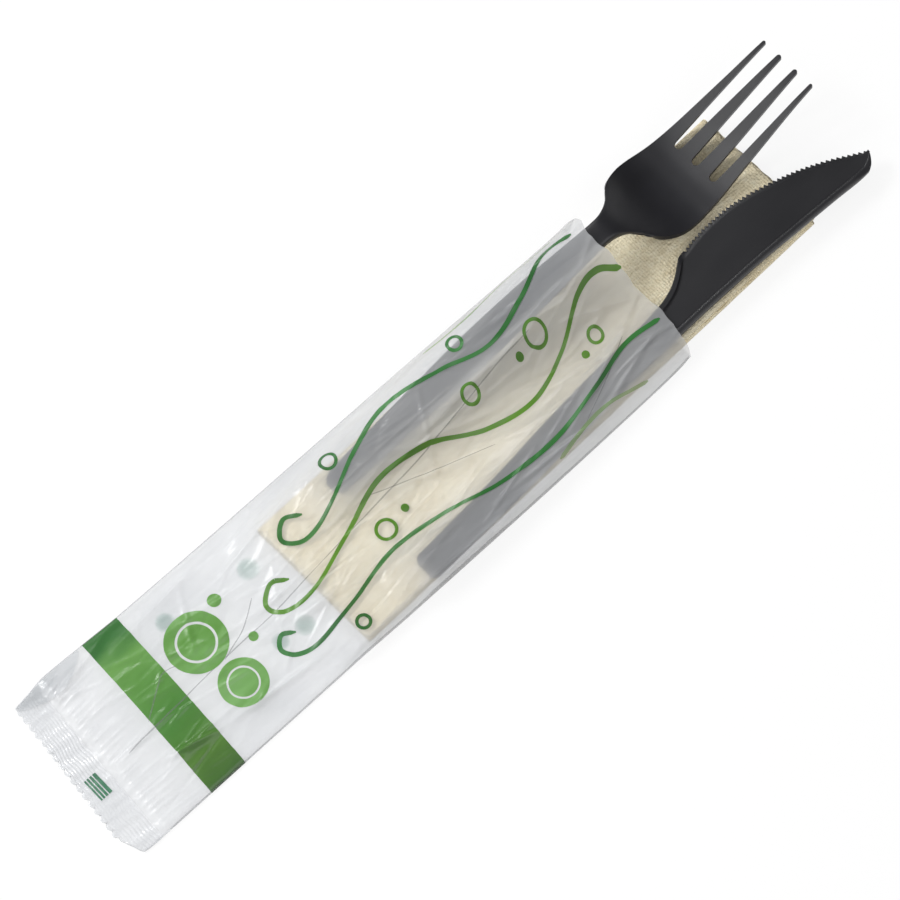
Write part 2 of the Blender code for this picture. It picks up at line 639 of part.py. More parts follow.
def recentre(parts, cutters):
    """Put the middle of the whole kit's footprint over the origin and its underside on Z 0."""
    graph = bpy.context.evaluated_depsgraph_get()
    spots = []
    for made in parts.objects:
        shown = made.evaluated_get(graph)
        spots += [tuple(vertex.co) for vertex in shown.data.vertices]
    spots = np.array(spots)
    low, high = spots.min(0), spots.max(0)
    shift = Matrix.Translation((-(low[0] + high[0]) / 2, -(low[1] + high[1]) / 2, -low[2]))
    for made in list(parts.objects) + list(cutters.objects):
        made.data.transform(shift)


fork_half_width = smooth_curve(FORK_HALF_WIDTH)
fork_height = smooth_curve(FORK_HEIGHT)
fork_dish = smooth_curve(FORK_DISH)
fork_crown = smooth_curve(FORK_CROWN)
fork_slot_offset = smooth_curve(
    ((0, FORK_SLOT_OFFSET_ROOT), (FORK_SLOT_ROOT, FORK_SLOT_OFFSET_ROOT),
     (FORK_LENGTH, FORK_SLOT_OFFSET_TIP)))
knife_spine = smooth_curve(KNIFE_SPINE)
knife_edge = smooth_curve(KNIFE_EDGE)
knife_edge_rim = smooth_curve(KNIFE_EDGE_RIM)
knife_spine_rim = smooth_curve(KNIFE_SPINE_RIM)
sleeve_low = smooth_curve(SLEEVE_LOW_SIDE)
sleeve_high = smooth_curve(SLEEVE_HIGH_SIDE)
sleeve_skew = smooth_curve(SLEEVE_SKEW)
mouth_wave = smooth_curve(MOUTH_WAVE)

for old in list(bpy.data.objects):
    bpy.data.objects.remove(old)

kit = collection("cutlery_kit")
cutters = collection("cutters")
film = plastic("milky_film", (0.82, 0.84, 0.85), 0.35, 0.45)
paper = plastic("beige_paper", (0.62, 0.55, 0.40), 0.9)
fork_black = plastic("fork_black_plastic", (0.03, 0.03, 0.035), 0.38)
knife_black = plastic("knife_black_plastic", (0.028, 0.028, 0.033), 0.42)

film_sleeve(kit, cutters, film)
napkin(kit, paper)
fork(kit, fork_black)
knife(kit, cutters, knife_black)
recentre(kit, cutters)
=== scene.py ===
import math

import bpy
import numpy as np
from mathutils import Matrix, Vector
from mathutils.bvhtree import BVHTree


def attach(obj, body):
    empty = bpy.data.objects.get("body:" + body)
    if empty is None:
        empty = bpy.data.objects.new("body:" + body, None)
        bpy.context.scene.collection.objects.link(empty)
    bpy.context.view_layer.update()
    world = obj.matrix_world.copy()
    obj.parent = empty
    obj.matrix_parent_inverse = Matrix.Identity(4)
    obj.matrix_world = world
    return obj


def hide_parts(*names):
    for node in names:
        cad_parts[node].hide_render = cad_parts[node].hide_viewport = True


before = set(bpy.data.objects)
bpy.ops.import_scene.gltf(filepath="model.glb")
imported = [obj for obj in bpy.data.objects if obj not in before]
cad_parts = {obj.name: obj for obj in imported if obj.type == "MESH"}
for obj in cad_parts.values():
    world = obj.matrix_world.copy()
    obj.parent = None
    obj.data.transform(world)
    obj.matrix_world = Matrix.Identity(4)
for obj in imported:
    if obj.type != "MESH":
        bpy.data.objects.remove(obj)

MM = 0.001

SHIFT_X = 0.49
SHIFT_Y = -0.83

# The camera: turned to the pack, tipped back from straight down, a metre away.
CAMERA_TARGET = Vector((-3.4, -1.1, 3.0)) * MM
CAMERA_DISTANCE = 1000 * MM
CAMERA_TURN = math.radians(43.5)
CAMERA_TILT = math.radians(20.0)
CAMERA_SCALE = 0.258 * MM
IMAGE_PIXELS = 900
SENSOR = 36.0

# The sleeve's film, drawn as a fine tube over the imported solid.
TAIL_X = -133.6
CRIMP_END_X = -124.6
BAND_START_X = -108.6
BAND_END_X = -97.2
MOUTH_X = 61.0
MOUTH_WAVE_LENGTH = 15.0
FILM_COLUMNS = 150
LOWER_COLUMNS = 60
TAIL_STATIONS = 28
BAND_STATIONS = 20
BODY_STATIONS = 250
CRIMP_PITCH = 0.9
CRIMP_STEPS = 6
CRIMP_RIB = 0.05
CRIMP_TOP = 0.86
CRIMP_UNDER = 0.30
CRIMP_UNDER_SHARE = 0.6
CRIMP_WAVE = 0.20
CRIMP_FADE = 2.5
SEAL_TOOTH_PITCH = 2.5
SEAL_TOOTH_DEPTH = 1.0
SEAL_TOOTH_RUN = 1.6
EDGE_HEIGHT = 0.45
EDGE_FADE_SHARE = 0.05
LOWER_HEIGHT = 0.04
BARE_HEIGHT = 0.3
RAY_START = 60.0
DRAPE_ROUNDS = 6
SHIFT_ROUNDS = 8
FILM_OVER = 0.15

# How clear the film looks: most where it touches what it covers.
CLEAR_TOUCHING = 0.61
CLEAR_LIFTED = 0.38
CLEAR_FALL = 3.2
CLEAR_ROUNDS = 10
CLEAR_LOWER = 0.55

# Gathers at the crimp and streaks over the film, drawn at random from these ranges.
CREASE_SEED = 11
GATHER_LOW_Y = -22.5
GATHER_HIGH_Y = 24.5
GATHER_PITCH = 1.7
GATHER_FAN = 0.10
GATHER_REACH = (6, 17)
GATHER_WIDTH = (0.5, 0.95)
GATHER_HEIGHT = (0.25, 0.6)
STREAK_COUNT = 260
STREAK_Y = (-24, 25)
STREAK_REACH = (7, 36)
STREAK_WIDTH = (0.6, 1.9)
STREAK_HEIGHT = (0.12, 0.5)
STREAKS_ALONG = 0.72
STREAK_SWAY = 0.2
STREAK_SLANT = (-1.1, 1.1)
STREAKS_RAISED = 0.6
STREAK_SUNK = -0.7

# The napkin: one sheet folded to four leaves.
NAPKIN_LENGTH = 164.0
NAPKIN_WIDTH = 41.4
NAPKIN_LEAF = 0.62
NAPKIN_LEAF_GAP = 0.22
NAPKIN_BOTTOM = 0.6
NAPKIN_END_X = 109.7
NAPKIN_END_Y = 0.75
NAPKIN_TURN = 1.2
NAPKIN_TOP_SHORT = 0.5
NAPKIN_INNER_SHORT = 1.1
NAPKIN_STATIONS = 120

# Fork: widths and heights against the distance from the end of the handle.
SEAT_Z = 4.04
FORK_LENGTH = 165.3
FORK_START_X = -34.0
FORK_Y = 12.85
FORK_WALL = 1.4
FORK_END_RADIUS = 3.0
FORK_FLANGE = 2.2
FORK_FLANGE_END = 110.0
FORK_FLANGE_FADE = 10.0
FORK_HEAD_START = 98.0
FORK_HEAD_BLEND = 16.0
FORK_TIP_BLUNT = 0.06
FORK_SLOT_ROOT = 131.0
FORK_SLOT_RADIUS = 1.2
FORK_SLOT_TIP_HALF = 2.3
FORK_EDGE_ROUND = 0.28
FORK_SPREAD = 1.8
FORK_WIDTH_SPREAD = 0.8
FORK_FINE = 4
FORK_HANDLE_STEP = 1.5
FORK_HEAD_STEP = 0.5
FORK_TINE_START = 0.6
FORK_TINE_STEP = 0.8
FORK_TIP_STEPS = (1.5, 1.2, 0.9, 0.65, 0.42, 0.25, 0.12, 0.0)
FORK_HALF_WIDTH = (
    (0, 3.0), (10, 3.6), (35, 4.4), (52, 4.8), (72, 4.5), (88, 3.7), (95.5, 3.45),
    (99, 3.7), (101.5, 4.5), (104, 6.1), (107, 9.1), (110, 11.0), (113, 12.1), (116, 12.65),
    (118.5, 12.75), (121.5, 12.55), (125, 12.15), (129, 11.8), (138, 10.95), (147, 10.25),
    (156, 9.6), (165.3, 9.1),
)
FORK_HEIGHT = (
    (0, 2.55), (15, 4.65), (35, 7.8), (60, 11.3), (80, 13.5), (92, 14.3), (96.5, 14.35),
    (99.5, 13.7), (102, 12.4), (105, 10.3), (108, 8.1), (111, 5.9), (114, 4.1), (117, 2.75),
    (120, 1.9), (123.5, 1.4), (127, 1.55), (131, 2.55), (136, 4.3), (142.5, 6.9), (151.5, 10.4),
    (160.7, 13.9), (165.3, 15.3),
)
FORK_DISH = ((0, 0), (104, 0), (110, 0.3), (117, 0.8), (124, 0.8), (132, 0.3), (165.3, 0))
FORK_CROWN = ((0, 0.35), (95, 0.45), (106, 0.2), (112, 0), (165.3, 0))
FORK_SLOT_OFFSET = ((0, 6.5), (131, 6.5), (165.3, 5.9))

# Knife: edge lines against X; the heights are above the underside of its rims.
KNIFE_START_X = -31.6
KNIFE_TIP_X = 133.9
KNIFE_RIM_HEIGHT = 2.6
KNIFE_WEB_HIGH = 1.9
KNIFE_RIM_WIDTH = 1.9
KNIFE_RIM_ROUND = 0.35
KNIFE_BEAD_POINTS = 13
KNIFE_BEAD_POWER = 2.4
KNIFE_WEB_MARGIN = 0.15
KNIFE_STEP = 0.13
KNIFE_BAND_SHARE = 0.3
KNIFE_ROUND_SHARE = 0.08
KNIFE_END_RADIUS = 1.8
KNIFE_EDGE_HALF = 0.2
KNIFE_BEVEL_WIDTH = 1.7
KNIFE_BEVEL_SHARE = 0.8
KNIFE_RIM_SHARE = 0.75
KNIFE_TOOTH_MARGIN = 0.05
KNIFE_FIRST_STEP = 2.5
KNIFE_HANDLE_STEP = 1.5
KNIFE_HEEL_START_X = 64.0
KNIFE_HEEL_END_X = 77.5
KNIFE_HEEL_STEP = 0.35
KNIFE_SPINE = (
    (-31.6, -23.9), (-20, -23.5), (0, -22.6), (20, -21.3), (40, -20.0), (60, -19.3),
    (75, -19.0), (88, -19.0), (105, -19.5), (118, -20.0), (127, -20.45), (129.6, -20.35),
    (131.2, -19.6), (132.6, -18.2), (133.5, -16.9), (133.9, -16.0),
)
KNIFE_EDGE = (
    (-31.6, -16.2), (-20, -15.6), (0, -14.2), (20, -12.3), (40, -11.0), (55, -10.4),
    (63, -9.6), (68, -8.2), (71, -6.6), (74, -4.5), (76, -3.2), (78, -2.75), (82, -2.0),
    (88, -1.45), (93, -1.45), (100, -2.3), (108, -4.2), (116, -6.7), (124, -10.2),
    (130, -13.5), (133.9, -15.7),
)
KNIFE_EDGE_RIM = ((-31.6, 1), (74, 1), (78, 0), (133.9, 0))
KNIFE_SPINE_RIM = ((-31.6, 1), (124, 0.9), (130, 0.25), (133.9, 0))
TOOTH_START_X = 78.6
TOOTH_PITCH = 1.31
TOOTH_DEPTH = 0.85
TOOTH_FLAT = 0.05
TOOTH_STATIONS = 8

# Softening of a curve: how many samples, and how far along a cosine their weights fall.
SOFT_SAMPLES = 9
SOFT_FALL = 1.4

# Print: the ink lies this far above the film, in layers where prints cross.
INK_LIFT = 0.10
DEEP_LIFT = 0.14
MARK_LIFT = 0.16
BACK_LIFT = 0.08
BACK_LAYER = 0.04
CORNER_LIFT = 0.35
# The two fold lifts here, and the side fold width and inset below, place the strips of painted crease
# shade.
FOLD_LIFT = 0.03
SIDE_FOLD_LIFT = 0.04
LINE_WIDTH = 1.15
PALE_WIDTH = 0.9
RING_WIDTH = 0.9
SIDE_FOLD_WIDTH = 0.32
SIDE_FOLD_INSET = 0.2
BAND_HALF_WIDTH = 26.0

# Light from all round, dimmer towards the tips of the cutlery.
WORLD_LIGHT = 0.34
WORLD_DARK = 0.05
DARK_SIDE = (0.95, 0.08, 0.30)
DARK_STARTS = 0.35
DARK_ENDS = 0.85
FLOOR_REACH = 3.0
FLOOR_BELOW = 0.1 * MM
FLOOR_GREY = 0.86
FLOOR_GLOW = 0.86
WHITE = (1.0, 1.0, 1.0, 1.0)


def remember_box():
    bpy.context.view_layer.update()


def smooth_curve(table):
    """Monotone cubic through a table of (position, value)."""
    xs = np.array([row[0] for row in table], float)
    ys = np.array([row[1] for row in table], float)
    steps = np.diff(xs)
    slopes = np.diff(ys) / steps
    tangents = np.zeros(len(xs))
    tangents[0] = slopes[0]
    tangents[-1] = slopes[-1]
    for i in range(1, len(xs) - 1):
        if slopes[i - 1] * slopes[i] > 0:
            before = 2 * steps[i] + steps[i - 1]
            after = steps[i] + 2 * steps[i - 1]
            tangents[i] = (before + after) / (before / slopes[i - 1] + after / slopes[i])

    def value(x):
        x = np.clip(np.asarray(x, float), xs[0], xs[-1])
        i = np.clip(np.searchsorted(xs, x) - 1, 0, len(xs) - 2)
        t = (x - xs[i]) / steps[i]
        h00 = (1 + 2 * t) * (1 - t) ** 2
        h10 = t * (1 - t) ** 2
        h01 = t * t * (3 - 2 * t)
        h11 = t * t * (t - 1)
        return (h00 * ys[i] + h10 * steps[i] * tangents[i]
                + h01 * ys[i + 1] + h11 * steps[i] * tangents[i + 1])

    return value


def softened(curve, spread):
    """The curve averaged over a short stretch, so that its bends are rounder."""
    offsets = np.linspace(-spread, spread, SOFT_SAMPLES)
    weights = np.cos(offsets / spread * SOFT_FALL)

    def value(x):
        return sum(w * curve(x + o) for w, o in zip(weights, offsets)) / weights.sum()

    return value


def round_steps(radius, angle):
    """Distances from the tip of a round end, one for each angle in degrees."""
    return [radius * (1 - math.cos(math.radians(a))) for a in range(angle, 91, angle)]


fork_half_width = softened(smooth_curve(FORK_HALF_WIDTH), FORK_WIDTH_SPREAD)
fork_height = softened(smooth_curve(FORK_HEIGHT), FORK_SPREAD)
fork_dish = softened(smooth_curve(FORK_DISH), FORK_SPREAD)
fork_crown = softened(smooth_curve(FORK_CROWN), FORK_SPREAD)
fork_slot_offset = smooth_curve(FORK_SLOT_OFFSET)
knife_spine = smooth_curve(KNIFE_SPINE)
knife_edge = smooth_curve(KNIFE_EDGE)
knife_edge_rim = smooth_curve(KNIFE_EDGE_RIM)
knife_spine_rim = smooth_curve(KNIFE_SPINE_RIM)
film_low = smooth_curve((
    (-133.6, -16.5), (-131.6, -21.0), (-129.8, -24.6), (-126, -24.9), (-60, -24.9),
    (-40, -25.2), (0, -25.3), (40, -25.0), (56, -24.6), (61, -24.0),
))
film_high = smooth_curve((
    (-133.6, 25.5), (-126, 26.4), (-122, 27.0), (-108, 26.5), (-96, 26.0), (-40, 25.6),
    (0, 25.5), (40, 25.1), (54, 25.0), (58, 24.7), (60, 23.6), (61, 22.4),
))
film_skew = smooth_curve((
    (-133.6, 0.092), (-122, 0.05), (-108, 0.039), (-97, 0.035), (0, 0.022), (61, 0.03),
))
mouth_wave = smooth_curve((
    (-25, 0.0), (-18, 0.7), (-11, 1.0), (-3, 0.2), (8, -2.2), (12.5, -2.6), (17, -2.0), (25, 0.3),
))

# Long creases of the film: start, end, half width and height.
CREASES = (
    (-114, -10.6, -97, -14.8, 1.6, 0.9),
    (-98, -14.6, -62, -18.6, 1.7, 1.0),
    (-126, 21.0, -112, 15.5, 1.4, 0.7),
    (-122, 20.5, -108, 22.5, 1.3, 0.6),
    (-124, 12.0, -104, 8.0, 1.3, 0.5),
    (-120, -2.0, -110, -4.0, 1.0, 0.4),
    (-104, 19.5, -72, 22.0, 1.8, 0.6),
    (-94, 14.0, -60, 8.5, 1.8, 0.6),
    (-88, 3.5, -58, 0.5, 1.4, 0.45),
    (-76, -6.0, -42, -9.5, 1.7, 0.6),
    (-62, 17.0, -34, 20.0, 1.8, 0.5),
    (-46, 4.0, -16, 8.0, 1.6, 0.5),
    (-28, 3.0, 5, -8.5, 1.6, 0.7),
    (-16, 6.0, 14, -2.5, 1.4, 0.6),
    (4, 1.5, 28, 7.0, 1.5, 0.55),
    (20, -19.5, 52, -8.0, 1.8, 0.8),
    (30, -21.5, 57, -14.0, 1.5, 0.6),
    (34, 4.0, 60, -4.5, 1.7, 0.7),
    (44, 6.0, 60, 7.5, 1.4, 0.6),
    (-10, -20.0, 24, -21.0, 1.5, 0.45),
)


def film_shift(station, y):
    """How far forward the film lies at y, against its station along the middle."""
    near_mouth = np.clip(1 - (MOUTH_X - station) / MOUTH_WAVE_LENGTH, 0, 1) ** 2
    uneven = 0.22 * np.sin(y / 2.3) + 0.12 * np.sin(y / 0.9 + 1.0)
    return film_skew(station) * y + (mouth_wave(y) + uneven - 0.3) * near_mouth


def ridge(x, y, x0, y0, x1, y1, width, height):
    """A long hump that fades out at both ends."""
    run = math.hypot(x1 - x0, y1 - y0)
    ux, uy = (x1 - x0) / run, (y1 - y0) / run
    along = np.clip(((x - x0) * ux + (y - y0) * uy) / run, 0, 1)
    aside = np.abs(-(x - x0) * uy + (y - y0) * ux) / width
    return height * (4 * along * (1 - along)) ** 0.7 * np.clip(1 - aside, 0, 1) ** 1.4


def crinkles(x, y):
    """All the film's creases: the long ones, the gathers at the crimp and fine streaks."""
    total = np.zeros_like(x)
    for crease in CREASES:
        total += ridge(x, y, *crease)
    rng = np.random.default_rng(CREASE_SEED)
    for across in np.arange(GATHER_LOW_Y, GATHER_HIGH_Y, GATHER_PITCH):
        start_y = across + rng.uniform(-0.5, 0.5)
        reach = rng.uniform(*GATHER_REACH)
        spread = GATHER_FAN * start_y / 24 * reach
        total += ridge(x, y, CRIMP_END_X - 2, start_y, CRIMP_END_X + reach, start_y + spread,
                       rng.uniform(*GATHER_WIDTH), rng.uniform(*GATHER_HEIGHT))
    for _ in range(STREAK_COUNT):
        x0 = rng.uniform(CRIMP_END_X, MOUTH_X - 4)
        y0 = rng.uniform(*STREAK_Y)
        length = rng.uniform(*STREAK_REACH)
        runs_along = rng.random() < STREAKS_ALONG
        angle = rng.normal(0, STREAK_SWAY) if runs_along else rng.uniform(*STREAK_SLANT)
        sign = 1 if rng.random() < STREAKS_RAISED else STREAK_SUNK
        total += ridge(x, y, x0, y0, x0 + length * math.cos(angle), y0 + length * math.sin(angle),
                       rng.uniform(*STREAK_WIDTH), sign * rng.uniform(*STREAK_HEIGHT))
    return total


def smoothed(grid, times):
    """The grid with its inner values averaged with their neighbours."""
    for _ in range(times):
        inner = grid[1:-1, 1:-1]
        along = grid[:-2, 1:-1] + grid[2:, 1:-1]
        across = grid[1:-1, :-2] + grid[1:-1, 2:]
        grid = grid.copy()
        grid[1:-1, 1:-1] = 0.4 * inner + 0.15 * (along + across)
    return grid


def solid_tree(*names):
    """One ray-cast tree, in the pack's millimetres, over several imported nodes."""
    corners, faces = [], []
    for name in names:
        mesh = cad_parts[name].data
        start = len(corners)
        corners += [(v.co.x / MM - SHIFT_X, v.co.y / MM - SHIFT_Y, v.co.z / MM) for v in mesh.vertices]
        faces += [tuple(start + k for k in polygon.vertices) for polygon in mesh.polygons]
    return BVHTree.FromPolygons(corners, faces)


def heights(tree, x, y, missing):
    """Height of the first surface met from above at each spot."""
    found = np.full(x.shape, float(missing))
    down = Vector((0, 0, -1))
    for place in np.ndindex(x.shape):
        hit = tree.ray_cast(Vector((x[place], y[place], RAY_START)), down)[0]
        if hit is not None:
            found[place] = hit.z
    return found


class Film:
    """The upper film as a fine grid, with the height of any spot on it."""

    def __init__(self):
        crimp = np.arange(TAIL_X, CRIMP_END_X, CRIMP_PITCH / CRIMP_STEPS)
        tail = np.linspace(CRIMP_END_X, BAND_START_X, TAIL_STATIONS)
        band = np.linspace(BAND_START_X, BAND_END_X, BAND_STATIONS)[1:]
        body = np.linspace(BAND_END_X, MOUTH_X, BODY_STATIONS)[1:]
        self.stations = np.concatenate([crimp, tail, band, body])
        self.shares = np.linspace(0, 1, FILM_COLUMNS)
        self.low = film_low(self.stations)[:, None]
        self.high = film_high(self.stations)[:, None]
        self.y = self.low + (self.high - self.low) * self.shares[None]
        self.x = self.stations[:, None] + film_shift(self.stations[:, None], self.y)
        self.past_crimp = np.clip((self.stations[:, None] - CRIMP_END_X) / CRIMP_FADE, 0, 1)
        self.under = heights(solid_tree("fork", "knife", "napkin"), self.x, self.y, BARE_HEIGHT)
        self.z = self.drape()
        self.clear = self.clearness()

    def drape(self):
        """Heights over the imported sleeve, creased, clear of what lies below and crimped at the tail."""
        z = smoothed(heights(solid_tree("film_sleeve"), self.x, self.y, EDGE_HEIGHT), DRAPE_ROUNDS)
        edge = np.clip(np.minimum(self.shares, 1 - self.shares) / EDGE_FADE_SHARE, 0, 1)[None]
        z = z + crinkles(self.x, self.y) * edge * self.past_crimp
        z = np.maximum(z, self.under + FILM_OVER)
        z = (CRIMP_TOP + self.ribs(self.y)) * (1 - self.past_crimp) + z * self.past_crimp
        z[:, 0] = EDGE_HEIGHT
        z[:, -1] = EDGE_HEIGHT
        return z

    def ribs(self, y):
        """Pressed ribs along the seal, and small gathers through it with unlike wave lengths."""
        stations = self.stations[:, None]
        bent = 0.35 * np.sin(y / 3.1) + 0.2 * np.sin(y / 1.1 + 2.0)
        across = np.sin(2 * np.pi * (stations + bent - TAIL_X) / CRIMP_PITCH)
        gathers = np.sin(y / 1.3 + 0.9 * np.sin(y / 3.7) + 0.25 * stations)
        fine = np.sin(y / 0.55 + 0.9 * stations) * np.sin(y / 2.9 - 0.6 * stations)
        strength = 0.5 + 0.5 * np.sin(y / 5.3 + 0.5)
        return CRIMP_RIB * across * (0.4 + strength) + CRIMP_WAVE * (gathers * strength + 0.6 * fine)

    def clearness(self):
        """Share of light that passes, by the film's smoothed distance from what it covers."""
        gap = smoothed(np.maximum(self.z - self.under, 0), CLEAR_ROUNDS)
        return CLEAR_LIFTED + (CLEAR_TOUCHING - CLEAR_LIFTED) * np.exp(-gap / CLEAR_FALL)

    def height(self, x, y):
        """Height of the upper film at any spot, between the four nearest points of its grid."""
        station = np.asarray(x, float).copy()
        for _ in range(SHIFT_ROUNDS):
            station = x - film_shift(station, y)
        share = (y - film_low(station)) / (film_high(station) - film_low(station))
        i = np.clip(np.searchsorted(self.stations, station) - 1, 0, len(self.stations) - 2)
        steps = self.stations[i + 1] - self.stations[i]
        u = np.clip((station - self.stations[i]) / steps, 0, 1)
        column = np.clip(share, 0, 1) * (FILM_COLUMNS - 1)
        j = np.clip(column.astype(int), 0, FILM_COLUMNS - 2)
        v = column - j
        z = self.z
        return ((z[i, j] * (1 - v) + z[i, j + 1] * v) * (1 - u)
                + (z[i + 1, j] * (1 - v) + z[i + 1, j + 1] * v) * u)

    def lower(self):
        """The lower film, from the fork's side back to the knife's."""
        shares = np.linspace(1, 0, LOWER_COLUMNS + 2)[1:-1]
        y = self.low + (self.high - self.low) * shares[None]
        x = self.stations[:, None] + film_shift(self.stations[:, None], y)
        crimp = CRIMP_UNDER + CRIMP_UNDER_SHARE * self.ribs(y)
        z = crimp * (1 - self.past_crimp) + LOWER_HEIGHT * self.past_crimp
        return x, y, np.maximum(z, LOWER_HEIGHT)


def mesh_object(name, points, faces, materials, indices=None):
    mesh = bpy.data.meshes.new(name)
    placed = [((x + SHIFT_X) * MM, (y + SHIFT_Y) * MM, z * MM) for x, y, z in points]
    mesh.from_pydata(placed, [], faces)
    mesh.update()
    mesh.shade_smooth()
    for material in materials:
        mesh.materials.append(material)
    if indices is not None:
        mesh.polygons.foreach_set("material_index", indices)
    made = bpy.data.objects.new(name, mesh)
    bpy.context.scene.collection.objects.link(made)
    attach(made, "root")
    return made


def grid_faces(rows, columns, start=0):
    faces = []
    for i in range(rows - 1):
        for k in range(columns - 1):
            a = start + i * columns + k
            faces.append((a, a + columns, a + columns + 1, a + 1))
    return faces


def sleeve(film, clear_film, band_film, crimp_film):
    """The whole tube of film, open at the mouth."""
    xl, yl, zl = film.lower()
    x = np.concatenate([film.x, xl], 1)
    y = np.concatenate([film.y, yl], 1)
    z = np.concatenate([film.z, zl], 1)
    clear = np.concatenate([film.clear, np.full(xl.shape, CLEAR_LOWER)], 1)
    fade = np.clip(1 - (film.stations - TAIL_X) / SEAL_TOOTH_RUN, 0, 1)[:, None]
    tooth = np.abs(np.sin(np.pi * y / SEAL_TOOTH_PITCH))
    x = x + SEAL_TOOTH_DEPTH * (1 - tooth) * fade
    count = x.shape[1]
    faces, indices = [], []
    for i, station in enumerate(film.stations[:-1]):
        for k in range(count):
            a, b = i * count + k, i * count + (k + 1) % count
            faces.append((a, a + count, b + count, b))
            banded = BAND_START_X - 0.01 < station < BAND_END_X - 0.01 and k < FILM_COLUMNS - 1
            indices.append(2 if station < CRIMP_END_X else 1 if banded else 0)
    points = np.stack([x, y, z], -1).reshape(-1, 3)
    made = mesh_object("film_tube", points, faces, (clear_film, band_film, crimp_film), indices)
    share = made.data.attributes.new("clear", "FLOAT", "POINT")
    share.data.foreach_set("value", clear.reshape(-1))
    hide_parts("film_sleeve")


def through(points, spacing=0.6):
    """A smooth line through a few chosen points, with a point every spacing."""
    spots = np.array(points, float)
    ends = np.vstack([2 * spots[0] - spots[1], spots, 2 * spots[-1] - spots[-2]])
    line = []
    for a, b, c, d in zip(ends, ends[1:], ends[2:], ends[3:]):
        steps = max(2, int(np.hypot(*(c - b)) / spacing))
        for t in np.arange(steps) / steps:
            line.append(0.5 * (2 * b + (c - a) * t + (2 * a - 5 * b + 4 * c - d) * t ** 2
                               + (3 * b - a - 3 * c + d) * t ** 3))
    line.append(spots[-1])
    return np.array(line)


class Ink:
    """Collects flat patches that lie on the film, to make one piece of them."""

    def __init__(self, film):
        self.film = film
        self.points = []
        self.faces = []

    def patch(self, x, y, lift=INK_LIFT):
        z = self.film.height(x, y) + lift
        self.faces += grid_faces(*x.shape, start=len(self.points))
        self.points += np.stack([x, y, z], -1).reshape(-1, 3).tolist()

    def line(self, points, width=LINE_WIDTH, lift=INK_LIFT):
        spots = through(points)
        run = np.gradient(spots, axis=0)
        run /= np.hypot(run[:, 0], run[:, 1])[:, None]
        count = len(spots)
        ends = np.minimum(np.arange(count), np.arange(count)[::-1])
        half = width / 2 * (0.35 + 0.65 * np.clip(ends / 2.0, 0, 1))
        half *= 1 + 0.12 * np.sin(np.arange(count) * 0.09)
        sides = np.linspace(-1, 1, 5)[None] * half[:, None]
        x = spots[:, :1] - run[:, 1:] * sides
        y = spots[:, 1:] + run[:, :1] * sides
        self.patch(x, y, lift + np.linspace(0, 0.03, count)[:, None])

    def disc(self, x, y, inner, outer, lift=INK_LIFT):
        radius = np.linspace(inner, outer, max(4, int((outer - inner) / 0.3)))[:, None]
        angle = np.linspace(0, 2 * np.pi, max(24, int(outer * 14)))[None]
        self.patch(x + radius * np.cos(angle), y + radius * np.sin(angle), lift)

    def piece(self, name, material):
        made = mesh_object(name, self.points, self.faces, (material,))


def print_waves(film, olive, deep, pale):
    """Flowing waves and bubbles, in place of any picture."""
    ink = Ink(film)
    ink.line(((-58, 2.2), (-62.5, 4.6), (-67, 1), (-64, -3.4), (-55, -4.2), (-40, 0.5), (-24, 5.2),
              (-8, 3), (6, -3.6), (20, -6.4), (34, -2.2), (46, 4.5), (54, 5.6), (60, 2.6)))
    for x, y, radius in ((-31, -5.2, 3.1), (8, 4.6, 2.7), (31, 4.6, 3.4), (44, -4.6, 2.4)):
        ink.disc(x, y, radius - RING_WIDTH, radius)
    for x, y in ((-23.5, -4.2), (24.2, 3.2), (38.6, -6.6)):
        ink.disc(x, y, 0.0, 1.1)
    ink.piece("print_olive", olive)
    ink = Ink(film)
    ink.line(((-66, -9), (-69.5, -7.2), (-72, -10), (-69.5, -13.6), (-63, -15.2), (-50, -13.5),
              (-34, -10.5), (-18, -12.5), (-2, -16.8), (16, -18), (34, -15), (48, -11.5), (59.6, -12.5)),
             lift=DEEP_LIFT)
    ink.line(((-44, 12.4), (-48.5, 14.9), (-52.5, 11), (-48, 7), (-38, 8.6), (-24, 14.6), (-10, 18),
              (6, 14.6), (20, 10.2), (34, 13.4), (46, 17.8), (55, 16.4)), lift=DEEP_LIFT)
    for x, y, radius in ((-30, 17.8, 2.6), (14, 17.0, 2.4), (-52, -19.2, 2.2)):
        ink.disc(x, y, radius - RING_WIDTH, radius)
    ink.piece("print_deep", deep)
    ink = Ink(film)
    ink.line(((8, 22.6), (22, 20.4), (38, 22.4), (52, 20.8)), width=PALE_WIDTH)
    ink.line(((14, -22.6), (30, -20.3), (46, -22.3)), width=PALE_WIDTH)
    ink.piece("print_pale", pale)


def print_bubbles(film, material):
    """Large ringed bubbles beside the band."""
    ink = Ink(film)
    for x, y, radius in ((-86.2, 6.4, 8.4), (-84.6, -9.6, 6.6)):
        ink.disc(x, y, radius * 0.66, radius)
        ink.disc(x, y, 0.0, radius * 0.58)
    ink.disc(-75.4, 11.6, 0.0, 1.9)
    ink.disc(-74.6, -2.4, 0.0, 1.3)
    ink.piece("print_bubbles", material)


def seal_mark(film, material):
    """Striped mark on the crimped end, for the cutting machine."""
    ink = Ink(film)
    across = np.linspace(-7.5, -0.8, 16)
    for x0, x1 in ((-131.0, -130.5), (-130.2, -129.6), (-129.3, -128.6), (-128.3, -127.3)):
        x, y = np.meshgrid(np.linspace(x0, x1, 5), across, indexing="ij")
        ink.patch(x, y, MARK_LIFT)
    ink.piece("seal_mark", material)


